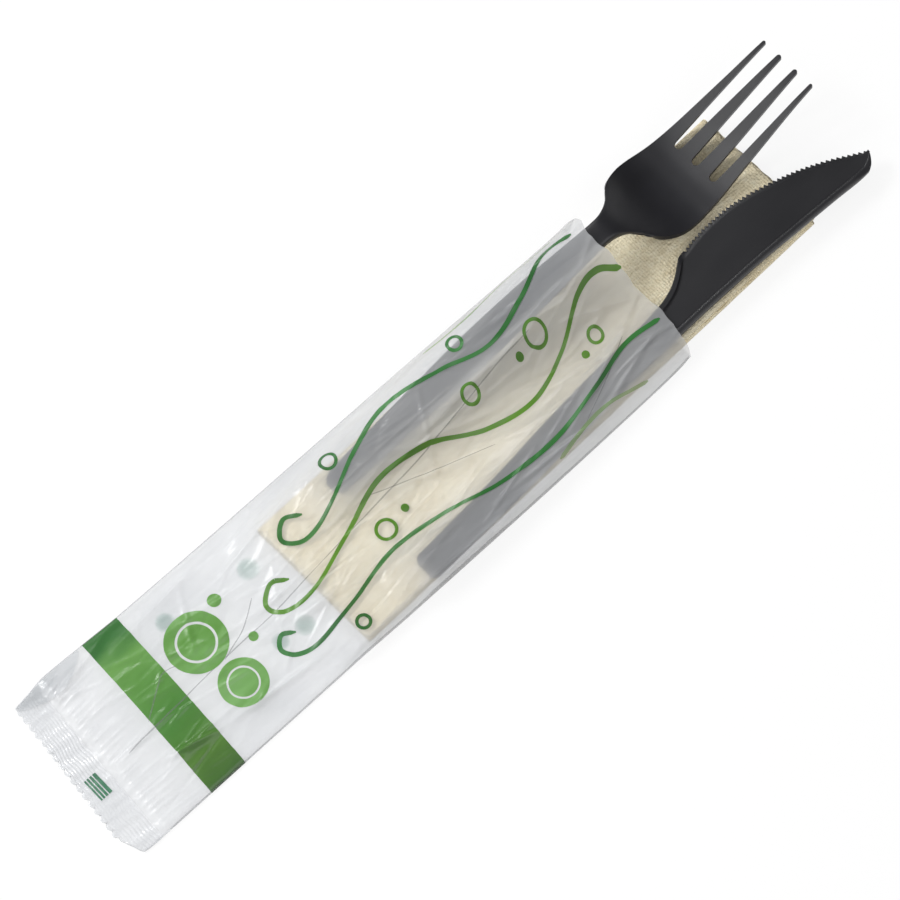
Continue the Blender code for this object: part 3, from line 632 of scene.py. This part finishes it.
def back_print(film, material):
    """Spots of the print on the lower film, dim through the upper one."""
    ink = Ink(film)
    for layer, share in enumerate((1.0, 0.8, 0.6)):
        for x, y, radius in ((-88, 16.5, 2.6), (-63, 12.5, 3.0), (-70, -7.5, 2.4), (-62.5, -8.6, 2.8)):
            first = len(ink.points)
            ink.disc(x, y, 0.0, radius * share)
            level = LOWER_HEIGHT + BACK_LIFT + BACK_LAYER * layer
            ink.points[first:] = [[px, py, level] for px, py, _ in ink.points[first:]]
    ink.piece("back_print", material)


def crease_shade_lines(film, material):
    """Thin sharp folds and folded edges of the film, drawn as dark grey strips: painted shade in the
    creases, where the film also lies double.
    """
    ink = Ink(film)
    folds = (
        (0.34, ((-118, -3.5), (-97, -2.3), (-85, -1.7), (-62, -1.2), (-35, 1), (-10, 2.5), (15, 5),
                (30, 6))),
        (0.30, ((-109, -0.8), (-101, 4.5), (-97.5, 6.2), (-92, 4.5))),
        (0.30, ((-84, -2), (-75, 1), (-68, 5.5))),
        (0.28, ((-28, 4), (-12, -2), (5, -8))),
        (0.30, ((26, -20), (38, -15), (49, -9.5))),
    )
    for width, points in folds:
        ink.line(points, width=width, lift=FOLD_LIFT)
    # Painted shade along both folded edges of the film.
    for side, inward in ((film_low, SIDE_FOLD_INSET), (film_high, -SIDE_FOLD_INSET)):
        edge = []
        for station in np.linspace(-122, MOUTH_X - 0.5, 60):
            y = float(side(station)) + inward
            edge.append((station + float(film_shift(station, y)), y))
        ink.line(edge, width=SIDE_FOLD_WIDTH, lift=SIDE_FOLD_LIFT)
    ink.piece("crease_shade_lines", material)


def folded_corner(film, material):
    """Corner of the sleeve turned in, so that its film lies double."""
    ink = Ink(film)
    inner = smooth_curve(((-131, 24.4), (-127.5, 22.5), (-119, 20.3), (-111, 24), (-108.9, 26.2)))
    x = np.linspace(-131, -109.2, 130)[:, None]
    outer = film_high(x) - 0.35
    y = inner(x) + (outer - inner(x)) * np.linspace(0, 1, 32)[None]
    ink.patch(np.broadcast_to(x, y.shape), y, CORNER_LIFT)
    ink.piece("folded_corner", material)


def napkin_path():
    """Middle line of the folded sheet across Y, from its top leaf to its free inner edge."""
    pitch = NAPKIN_LEAF + NAPKIN_LEAF_GAP
    half = NAPKIN_WIDTH / 2
    leaves = [NAPKIN_LEAF / 2 + k * pitch for k in range(4)]
    path = []

    def straight(y0, y1, z):
        for share in np.linspace(0, 1, 40):
            path.append((y0 + (y1 - y0) * share, z))

    def fold(centre, start, end, side):
        middle, radius = (start + end) / 2, (start - end) / 2
        for angle in np.linspace(0, np.pi, 12)[1:-1]:
            path.append((centre + side * abs(radius) * math.sin(angle), middle + radius * math.cos(angle)))

    far = half - NAPKIN_LEAF / 2 - (leaves[3] - leaves[0]) / 2
    near = -half + NAPKIN_LEAF / 2 + pitch / 2
    straight(-half + NAPKIN_TOP_SHORT, far, leaves[3])
    fold(far, leaves[3], leaves[0], 1)
    straight(far, near, leaves[0])
    fold(near, leaves[0], leaves[1], -1)
    straight(near, far, leaves[1])
    fold(far, leaves[1], leaves[2], 1)
    straight(far, -half + NAPKIN_INNER_SHORT, leaves[2])
    return np.array(path)


def napkin(material):
    path = napkin_path()
    run = np.gradient(path, axis=0)
    run /= np.hypot(run[:, 0], run[:, 1])[:, None]
    side = np.stack([-run[:, 1], run[:, 0]], 1) * NAPKIN_LEAF / 2
    ring = np.vstack([path + side, (path - side)[::-1]])
    along = np.linspace(-NAPKIN_LENGTH, 0, NAPKIN_STATIONS)
    turn = math.radians(NAPKIN_TURN)
    points = []
    for x in along:
        swell = 0.05 * np.sin(x / 3.1 + ring[:, 0] / 2.3) + 0.04 * np.sin(x / 1.3 - ring[:, 0] / 1.7)
        z = ring[:, 1] + swell + NAPKIN_BOTTOM
        ragged = x + (0.12 * np.sin(ring[:, 0] * 1.3) + 0.08 * ring[:, 1]) * (x / NAPKIN_LENGTH + 1)
        px = ragged * math.cos(turn) - ring[:, 0] * math.sin(turn) + NAPKIN_END_X
        py = ragged * math.sin(turn) + ring[:, 0] * math.cos(turn) + NAPKIN_END_Y
        points.append(np.stack([px, py, z], -1))
    count = len(ring)
    faces = []
    for i in range(NAPKIN_STATIONS - 1):
        for k in range(count):
            a, b = i * count + k, i * count + (k + 1) % count
            faces.append((a, b, b + count, a + count))
    last = (NAPKIN_STATIONS - 1) * count
    for k in range(len(path) - 1):
        a, b = k, k + 1
        c, d = count - 1 - b, count - 1 - a
        faces.append((a, d, c, b))
        faces.append((last + a, last + b, last + c, last + d))
    made = mesh_object("napkin_sheet", np.concatenate(points), faces, (material,))
    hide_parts("napkin")


def material_nodes(name):
    made = bpy.data.materials.new(name)
    made.use_nodes = True
    return made, made.node_tree.nodes, made.node_tree.links


def coordinates(nodes, links, scale=(1, 1, 1)):
    place = nodes.new("ShaderNodeTexCoord")
    spread = nodes.new("ShaderNodeMapping")
    spread.inputs["Scale"].default_value = scale
    links.new(place.outputs["Object"], spread.inputs["Vector"])
    return spread.outputs["Vector"]


def noise(nodes, links, scale, detail, stretch=(1, 1, 1), distortion=0.0):
    made = nodes.new("ShaderNodeTexNoise")
    made.inputs["Scale"].default_value = scale
    made.inputs["Detail"].default_value = detail
    made.inputs["Distortion"].default_value = distortion
    links.new(coordinates(nodes, links, stretch), made.inputs["Vector"])
    return made.outputs["Fac"]


def ramp(nodes, links, factor, stops):
    made = nodes.new("ShaderNodeValToRGB")
    elements = made.color_ramp.elements
    while len(elements) < len(stops):
        elements.new(0.5)
    for element, (position, colour) in zip(elements, stops):
        element.position = position
        element.color = (*colour, 1)
    links.new(factor, made.inputs["Fac"])
    return made.outputs["Color"]


def bump(nodes, links, height, strength, distance, before=None):
    made = nodes.new("ShaderNodeBump")
    made.inputs["Strength"].default_value = strength
    made.inputs["Distance"].default_value = distance
    links.new(height, made.inputs["Height"])
    if before is not None:
        links.new(before, made.inputs["Normal"])
    return made.outputs["Normal"]


def black_plastic(name, dark, light):
    """Moulded satin black: faint flow mottling and a fine grain."""
    material, nodes, links = material_nodes(name)
    shader = nodes["Principled BSDF"]
    shader.inputs["Specular IOR Level"].default_value = 0.5
    fine = noise(nodes, links, 2600, 2)
    broad = noise(nodes, links, 70, 3, (0.5, 1, 1))
    colour = ramp(nodes, links, broad, ((0.3, dark), (0.7, light)))
    links.new(colour, shader.inputs["Base Color"])
    gloss = nodes.new("ShaderNodeMapRange")
    gloss.inputs["To Min"].default_value = 0.34
    gloss.inputs["To Max"].default_value = 0.46
    links.new(fine, gloss.inputs["Value"])
    links.new(gloss.outputs["Result"], shader.inputs["Roughness"])
    links.new(bump(nodes, links, fine, 0.1, 0.0001), shader.inputs["Normal"])
    return material


def napkin_paper():
    """Unbleached tissue: embossed dots, short fibres and uneven tone."""
    material, nodes, links = material_nodes("unbleached_tissue")
    shader = nodes["Principled BSDF"]
    shader.inputs["Roughness"].default_value = 0.92
    shader.inputs["Specular IOR Level"].default_value = 0.15
    dots = nodes.new("ShaderNodeTexVoronoi")
    dots.inputs["Scale"].default_value = 1250
    dots.inputs["Randomness"].default_value = 0.45
    links.new(coordinates(nodes, links), dots.inputs["Vector"])
    fibre = noise(nodes, links, 750, 5, (0.45, 1, 1), 1.2)
    tone = noise(nodes, links, 140, 5)
    both = nodes.new("ShaderNodeMix")
    both.data_type = "FLOAT"
    both.inputs[0].default_value = 0.4
    links.new(fibre, both.inputs[2])
    links.new(tone, both.inputs[3])
    stops = ((0.3, (0.68, 0.58, 0.38)), (0.5, (0.84, 0.75, 0.54)), (0.72, (0.94, 0.88, 0.69)))
    links.new(ramp(nodes, links, both.outputs[0], stops), shader.inputs["Base Color"])
    embossed = bump(nodes, links, dots.outputs["Distance"], 0.8, 0.0006)
    links.new(bump(nodes, links, fibre, 0.5, 0.0004, embossed), shader.inputs["Normal"])
    return material


def thin_sheet(name, colour_of, clear, scatter, roughness, crinkle):
    """Thin film: partly clear, the rest shared between shine and light let through."""
    material, nodes, links = material_nodes(name)
    shader = nodes["Principled BSDF"]
    shader.inputs["Roughness"].default_value = roughness
    shader.inputs["Specular IOR Level"].default_value = 0.6
    through_film = nodes.new("ShaderNodeBsdfTranslucent")
    colour = colour_of(nodes, links)
    links.new(colour, shader.inputs["Base Color"])
    links.new(colour, through_film.inputs["Color"])
    broad = noise(nodes, links, 150, 3, (0.4, 1, 1), 0.6)
    fine = noise(nodes, links, 700, 3, (0.7, 1, 1))
    normal = bump(nodes, links, fine, crinkle * 0.5, 0.0002, bump(nodes, links, broad, crinkle, 0.0009))
    links.new(normal, shader.inputs["Normal"])
    links.new(normal, through_film.inputs["Normal"])
    milky = nodes.new("ShaderNodeMixShader")
    milky.inputs[0].default_value = scatter
    links.new(shader.outputs[0], milky.inputs[1])
    links.new(through_film.outputs[0], milky.inputs[2])
    open_part = nodes.new("ShaderNodeBsdfTransparent")
    mix = nodes.new("ShaderNodeMixShader")
    if isinstance(clear, str):
        share = nodes.new("ShaderNodeAttribute")
        share.attribute_name = clear
        links.new(share.outputs["Fac"], mix.inputs[0])
    else:
        mix.inputs[0].default_value = clear
    links.new(milky.outputs[0], mix.inputs[1])
    links.new(open_part.outputs[0], mix.inputs[2])
    links.new(mix.outputs[0], nodes["Material Output"].inputs["Surface"])
    return material


def milk(nodes, links):
    """Bluish white of the film, a little uneven."""
    factor = noise(nodes, links, 60, 4, (0.5, 1, 1))
    return ramp(nodes, links, factor, ((0.3, (0.66, 0.675, 0.70)), (0.7, (0.80, 0.81, 0.825))))


def ink_film(name, dark, light, clear, scatter, roughness, crinkle):
    """Film of one mottled colour, between dark and light."""
    def colour(nodes, links):
        return ramp(nodes, links, noise(nodes, links, 90, 3, (0.6, 1, 1)), ((0.32, dark), (0.68, light)))

    return thin_sheet(name, colour, clear, scatter, roughness, crinkle)


def band_colour(nodes, links):
    """Green that pales over the middle of the film and deepens at both sides."""
    place = nodes.new("ShaderNodeTexCoord")
    parts = nodes.new("ShaderNodeSeparateXYZ")
    links.new(place.outputs["Object"], parts.inputs[0])
    across = nodes.new("ShaderNodeMapRange")
    across.inputs["From Min"].default_value = -BAND_HALF_WIDTH * MM
    across.inputs["From Max"].default_value = BAND_HALF_WIDTH * MM
    links.new(parts.outputs["Y"], across.inputs["Value"])
    mottled = nodes.new("ShaderNodeMath")
    mottled.operation = "MULTIPLY_ADD"
    mottled.inputs[1].default_value = 0.22
    links.new(noise(nodes, links, 110, 4, (0.5, 1, 1)), mottled.inputs[0])
    links.new(across.outputs["Result"], mottled.inputs[2])
    return ramp(nodes, links, mottled.outputs[0], (
        (0.10, (0.020, 0.100, 0.003)), (0.26, (0.055, 0.170, 0.004)), (0.50, (0.045, 0.195, 0.014)),
        (0.68, (0.075, 0.245, 0.028)), (0.88, (0.120, 0.310, 0.055)), (1.0, (0.016, 0.140, 0.012)),
    ))


def camera():
    right = Vector((math.cos(CAMERA_TURN), -math.sin(CAMERA_TURN), 0))
    ahead = Vector((math.sin(CAMERA_TURN), math.cos(CAMERA_TURN), 0))
    look = ahead * math.sin(CAMERA_TILT) - Vector((0, 0, 1)) * math.cos(CAMERA_TILT)
    up = right.cross(look)
    data = bpy.data.cameras.new("camera")
    data.sensor_width = SENSOR
    data.lens = SENSOR * CAMERA_DISTANCE / (CAMERA_SCALE * IMAGE_PIXELS)
    data.clip_start = 0.01
    made = bpy.data.objects.new("camera", data)
    turn = Matrix((right, up, -look)).transposed().to_4x4()
    made.matrix_world = Matrix.Translation(CAMERA_TARGET - look * CAMERA_DISTANCE) @ turn
    bpy.context.scene.collection.objects.link(made)
    bpy.context.scene.camera = made


def lamp(name, place, size, power):
    data = bpy.data.lights.new(name, "AREA")
    data.shape = "DISK"
    data.size = size
    data.energy = power
    made = bpy.data.objects.new(name, data)
    made.location = place
    made.rotation_euler = (-Vector(place)).to_track_quat("-Z", "Y").to_euler()
    bpy.context.scene.collection.objects.link(made)


def lights():
    """Soft light from above the fork's side and the sealed end, with an even fill."""
    lamp("key", (-0.42, 0.66, 0.74), 0.35, 8.0)
    lamp("side", (-0.80, 0.32, 1.00), 0.9, 5.0)
    lamp("fill", (0.2, -0.8, 1.0), 1.2, 5.6)
    lamp("rim", (0.24, 0.77, 0.60), 0.3, 2.2)
    world = bpy.data.worlds.new("studio")
    world.use_nodes = True
    nodes, links = world.node_tree.nodes, world.node_tree.links
    nodes["Background"].inputs["Color"].default_value = WHITE
    place = nodes.new("ShaderNodeTexCoord")
    toward = nodes.new("ShaderNodeVectorMath")
    toward.operation = "DOT_PRODUCT"
    toward.inputs[1].default_value = DARK_SIDE
    links.new(place.outputs["Generated"], toward.inputs[0])
    dim = nodes.new("ShaderNodeMapRange")
    dim.inputs["From Min"].default_value = DARK_STARTS
    dim.inputs["From Max"].default_value = DARK_ENDS
    dim.inputs["To Min"].default_value = WORLD_LIGHT
    dim.inputs["To Max"].default_value = WORLD_DARK
    links.new(toward.outputs["Value"], dim.inputs["Value"])
    links.new(dim.outputs["Result"], nodes["Background"].inputs["Strength"])
    bpy.context.scene.world = world
    bpy.context.scene.view_settings.view_transform = "Standard"


def floor():
    material, nodes, links = material_nodes("floor_white")
    shader = nodes["Principled BSDF"]
    shader.inputs["Base Color"].default_value = (FLOOR_GREY, FLOOR_GREY, FLOOR_GREY, 1)
    shader.inputs["Roughness"].default_value = 0.9
    glow = nodes.new("ShaderNodeEmission")
    glow.inputs["Color"].default_value = WHITE
    path = nodes.new("ShaderNodeLightPath")
    seen = path.outputs["Is Camera Ray"]
    for kind in ("Is Glossy Ray", "Is Transmission Ray"):
        either = nodes.new("ShaderNodeMath")
        either.operation = "MAXIMUM"
        links.new(seen, either.inputs[0])
        links.new(path.outputs[kind], either.inputs[1])
        seen = either.outputs[0]
    share = nodes.new("ShaderNodeMath")
    share.operation = "MULTIPLY"
    share.inputs[1].default_value = FLOOR_GLOW
    links.new(seen, share.inputs[0])
    mix = nodes.new("ShaderNodeMixShader")
    links.new(share.outputs[0], mix.inputs[0])
    links.new(shader.outputs[0], mix.inputs[1])
    links.new(glow.outputs[0], mix.inputs[2])
    links.new(mix.outputs[0], nodes["Material Output"].inputs["Surface"])
    signs = ((-1, -1), (1, -1), (1, 1), (-1, 1))
    corners = [(x * FLOOR_REACH, y * FLOOR_REACH, -FLOOR_BELOW) for x, y in signs]
    mesh = bpy.data.meshes.new("floor")
    mesh.from_pydata(corners, [], [(0, 1, 2, 3)])
    mesh.materials.append(material)
    made = bpy.data.objects.new("floor", mesh)
    bpy.context.scene.collection.objects.link(made)


def fork_row(distance, across, drops):
    """Points of the fork's upper surface at one station."""
    fade = float(np.clip((FORK_FLANGE_END - distance) / FORK_FLANGE_FADE, 0, 1))
    share = across / float(fork_half_width(distance))
    bowl = (float(fork_dish(distance)) - float(fork_crown(distance))) * share ** 2
    z = float(fork_height(distance)) + bowl - FORK_FLANGE * fade ** 1.5 * drops
    x = np.full(across.shape, distance + FORK_START_X)
    return np.stack([x, across + FORK_Y, z + SEAT_Z], -1)


def fork_columns(distance):
    """Across positions and flange drops of the columns over the whole width."""
    half = float(fork_half_width(distance))
    inner = float(fork_slot_offset(distance)) / half
    handle = np.array((-1.0, -1.0, -0.93, -0.78, -0.5, -0.25, 0.0))
    drops = np.array((1.0, 0.35, 0.06, 0.0, 0.0, 0.0, 0.0))
    head = np.array((-1.0, -1 + (1 - inner) / 3, -1 + 2 * (1 - inner) / 3, -inner,
                     -2 * inner / 3, -inner / 3, 0.0))
    blend = float(np.clip((distance - FORK_HEAD_START) / FORK_HEAD_BLEND, 0, 1))
    places = np.arange(6 * FORK_FINE + 1) / FORK_FINE
    shares = np.interp(places, np.arange(7), handle * (1 - blend) + head * blend)
    falls = np.interp(places, np.arange(7), drops)
    if distance < FORK_END_RADIUS:
        inset = FORK_END_RADIUS - distance
        half -= FORK_END_RADIUS - math.sqrt(FORK_END_RADIUS ** 2 - inset ** 2)
    return half * np.concatenate([shares, -shares[-2::-1]]), np.concatenate([falls, falls[-2::-1]])


def tine_columns(distance, tine):
    """Across positions of one tine's columns, edge to edge."""
    half = float(fork_half_width(distance))
    slot = float(fork_slot_offset(distance))
    past_root = distance - FORK_SLOT_ROOT
    reach = min(past_root / FORK_SLOT_RADIUS, 1.0)
    gap = FORK_SLOT_RADIUS * math.sqrt(max(0.0, 1 - (1 - reach) ** 2))
    gap += (FORK_SLOT_TIP_HALF - FORK_SLOT_RADIUS) * past_root / (FORK_LENGTH - FORK_SLOT_ROOT)
    edges = ((-half, -slot - gap), (-slot + gap, -gap), (gap, slot - gap), (slot + gap, half))
    low, high = edges[tine]
    half_tine = (high - low) / 2
    to_tip = FORK_LENGTH - distance
    if to_tip < half_tine:
        half_tine *= math.sqrt(max(FORK_TIP_BLUNT, 1 - (1 - to_tip / half_tine) ** 2))
    return (low + high) / 2 + half_tine * np.linspace(-1, 1, 3 * FORK_FINE + 1)


def fork(material):
    """The fork's upper surface as one grid that parts into four tines, given a wall below."""
    handle = list(np.arange(FORK_END_RADIUS + 1, FORK_HEAD_START, FORK_HANDLE_STEP))
    head = list(np.arange(FORK_HEAD_START, FORK_SLOT_ROOT - FORK_HEAD_STEP / 2, FORK_HEAD_STEP))
    stations = round_steps(FORK_END_RADIUS, 10) + handle + head + [FORK_SLOT_ROOT]
    points = []
    for distance in stations:
        points += fork_row(distance, *fork_columns(distance)).tolist()
    count = 12 * FORK_FINE + 1
    faces = grid_faces(len(stations), count)
    root = (len(stations) - 1) * count
    along = [FORK_SLOT_ROOT + step for step in round_steps(FORK_SLOT_RADIUS, 15)]
    along += list(np.arange(along[-1] + FORK_TINE_START, FORK_LENGTH - FORK_TIP_STEPS[0], FORK_TINE_STEP))
    along += [FORK_LENGTH - back for back in FORK_TIP_STEPS]
    for tine in range(4):
        before = [root + 3 * FORK_FINE * tine + k for k in range(3 * FORK_FINE + 1)]
        for distance in along:
            start = len(points)
            across = tine_columns(distance, tine)
            points += fork_row(distance, across, np.zeros(across.shape)).tolist()
            now = [start + k for k in range(3 * FORK_FINE + 1)]
            for k in range(3 * FORK_FINE):
                faces.append((before[k], now[k], now[k + 1], before[k + 1]))
            before = now
    made = mesh_object("fork_moulding", points, faces, (material,))
    wall = made.modifiers.new("wall", "SOLIDIFY")
    wall.thickness = FORK_WALL * MM
    wall.offset = -1.0
    wall.use_quality_normals = True
    edge = made.modifiers.new("edge round", "BEVEL")
    edge.width = FORK_EDGE_ROUND * MM
    edge.segments = 3
    edge.limit_method = "ANGLE"
    edge.angle_limit = math.radians(50)
    edge.harden_normals = True
    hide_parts("fork")


def tooth_cut(x):
    """How deep the serration is cut at one station."""
    if x < TOOTH_START_X - TOOTH_PITCH / 2:
        return 0.0
    phase = ((x - TOOTH_START_X) / TOOTH_PITCH + 0.5) % 1.0
    return TOOTH_FLAT + (TOOTH_DEPTH - TOOTH_FLAT) * (1 - abs(2 * phase - 1))


def knife_section(x):
    """Closed section of the knife at one station, as (y, z) above its own underside."""
    low = float(knife_spine(x))
    high = float(knife_edge(x))
    from_end = x - KNIFE_START_X
    if from_end < KNIFE_END_RADIUS:
        inset = KNIFE_END_RADIUS - from_end
        narrow = KNIFE_END_RADIUS - math.sqrt(KNIFE_END_RADIUS ** 2 - inset ** 2)
        low += narrow
        high -= narrow
    width = high - low
    rim = min(KNIFE_RIM_WIDTH, KNIFE_BAND_SHARE * width)
    bevel = min(KNIFE_BEVEL_WIDTH, KNIFE_BAND_SHARE * width)
    corner = min(KNIFE_RIM_ROUND, KNIFE_ROUND_SHARE * width)
    edge = float(knife_edge_rim(x))
    middle = KNIFE_RIM_HEIGHT / 2
    web = KNIFE_WEB_HIGH - middle
    spine_rise = (middle - web) * float(knife_spine_rim(x))
    edge_half = web + (middle - web) * edge
    blade_half = KNIFE_EDGE_HALF * (1 - edge) + edge_half * edge
    mid_half = edge_half * edge + (web - KNIFE_STEP - KNIFE_TOOTH_MARGIN) * (1 - edge)
    reach = rim * edge + bevel * (1 - edge)
    step = reach * (KNIFE_RIM_SHARE * edge + KNIFE_BEVEL_SHARE * (1 - edge))
    inset = corner * edge + (TOOTH_DEPTH + KNIFE_TOOTH_MARGIN) * (1 - edge)
    top = []
    for share in np.linspace(0, 1, KNIFE_BEAD_POINTS):
        bulge = (1 - abs(2 * share - 1) ** KNIFE_BEAD_POWER) ** (1 / KNIFE_BEAD_POWER)
        top.append((low + rim * share, web + spine_rise * bulge))
    top += [
        (low + rim + KNIFE_WEB_MARGIN * rim, web),
        (high - reach - KNIFE_WEB_MARGIN * rim, web),
        (high - reach, web),
        (high - step, edge_half * edge + (web - KNIFE_STEP) * (1 - edge)),
        (high - inset, mid_half), (high - tooth_cut(x), blade_half - corner * edge),
    ]
    return [(y, middle + z) for y, z in top] + [(y, middle - z) for y, z in reversed(top)]


def knife(material):
    """The knife as one skin through its sections, closest together where the teeth are."""
    end = [KNIFE_START_X + step for step in round_steps(KNIFE_END_RADIUS, 10)]
    handle = list(np.arange(KNIFE_START_X + KNIFE_FIRST_STEP, KNIFE_HEEL_START_X, KNIFE_HANDLE_STEP))
    heel = list(np.arange(KNIFE_HEEL_START_X, KNIFE_HEEL_END_X, KNIFE_HEEL_STEP))
    step = TOOTH_PITCH / TOOTH_STATIONS
    teeth = list(np.arange(TOOTH_START_X - TOOTH_PITCH / 2, KNIFE_TIP_X - step / 2, step))
    stations = end + handle + heel + teeth + [KNIFE_TIP_X]
    points, faces = [], []
    for x in stations:
        section = knife_section(x)
        points += [(x, y, z + SEAT_Z) for y, z in section]
    count = len(section)
    for i in range(len(stations) - 1):
        for k in range(count):
            a, b = i * count + k, i * count + (k + 1) % count
            faces.append((a, a + count, b + count, b))
    faces.append(tuple(range(count)))
    faces.append(tuple(reversed(range(len(points) - count, len(points)))))
    made = mesh_object("knife_moulding", points, faces, (material,))
    made.data.set_sharp_from_angle(angle=math.radians(32))
    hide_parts("knife")


remember_box()
camera()
lights()
floor()
fork(black_plastic("fork_black", (0.010, 0.010, 0.012), (0.017, 0.017, 0.020)))
knife(black_plastic("knife_black", (0.009, 0.009, 0.011), (0.015, 0.015, 0.017)))
napkin(napkin_paper())
upper = Film()
sleeve(
    upper,
    thin_sheet("milky_film", milk, "clear", 0.45, 0.24, 0.45),
    thin_sheet("green_band", band_colour, 0.05, 0.3, 0.28, 0.4),
    thin_sheet("crimped_film", milk, 0.42, 0.3, 0.16, 0.6),
)
print_waves(
    upper,
    ink_film("ink_olive", (0.050, 0.180, 0.006), (0.100, 0.270, 0.015), 0.06, 0.25, 0.32, 0.1),
    ink_film("ink_deep", (0.014, 0.120, 0.018), (0.045, 0.220, 0.050), 0.06, 0.25, 0.32, 0.1),
    ink_film("ink_pale", (0.180, 0.340, 0.090), (0.300, 0.450, 0.170), 0.45, 0.3, 0.32, 0.1),
)
print_bubbles(upper, ink_film("ink_bubble", (0.08, 0.26, 0.016), (0.18, 0.40, 0.11), 0.06, 0.3, 0.3, 0.2))
seal_mark(upper, ink_film("ink_mark", (0.014, 0.11, 0.05), (0.04, 0.2, 0.1), 0.12, 0.2, 0.3, 0.2))
back_print(upper, ink_film("ink_back", (0.10, 0.33, 0.24), (0.2, 0.45, 0.36), 0.66, 0.2, 0.5, 0.1))
# Dark grey strips along the folds and film edges: painted crease shade over film that lies double.
crease_shade_lines(upper, ink_film("painted_crease_shade", (0.14, 0.15, 0.15), (0.3, 0.31, 0.31), 0.62, 0.1, 0.5, 0.1))
folded_corner(upper, ink_film("double_film", (0.5, 0.52, 0.54), (0.66, 0.67, 0.69), 0.35, 0.3, 0.22, 0.3))
remember_box()
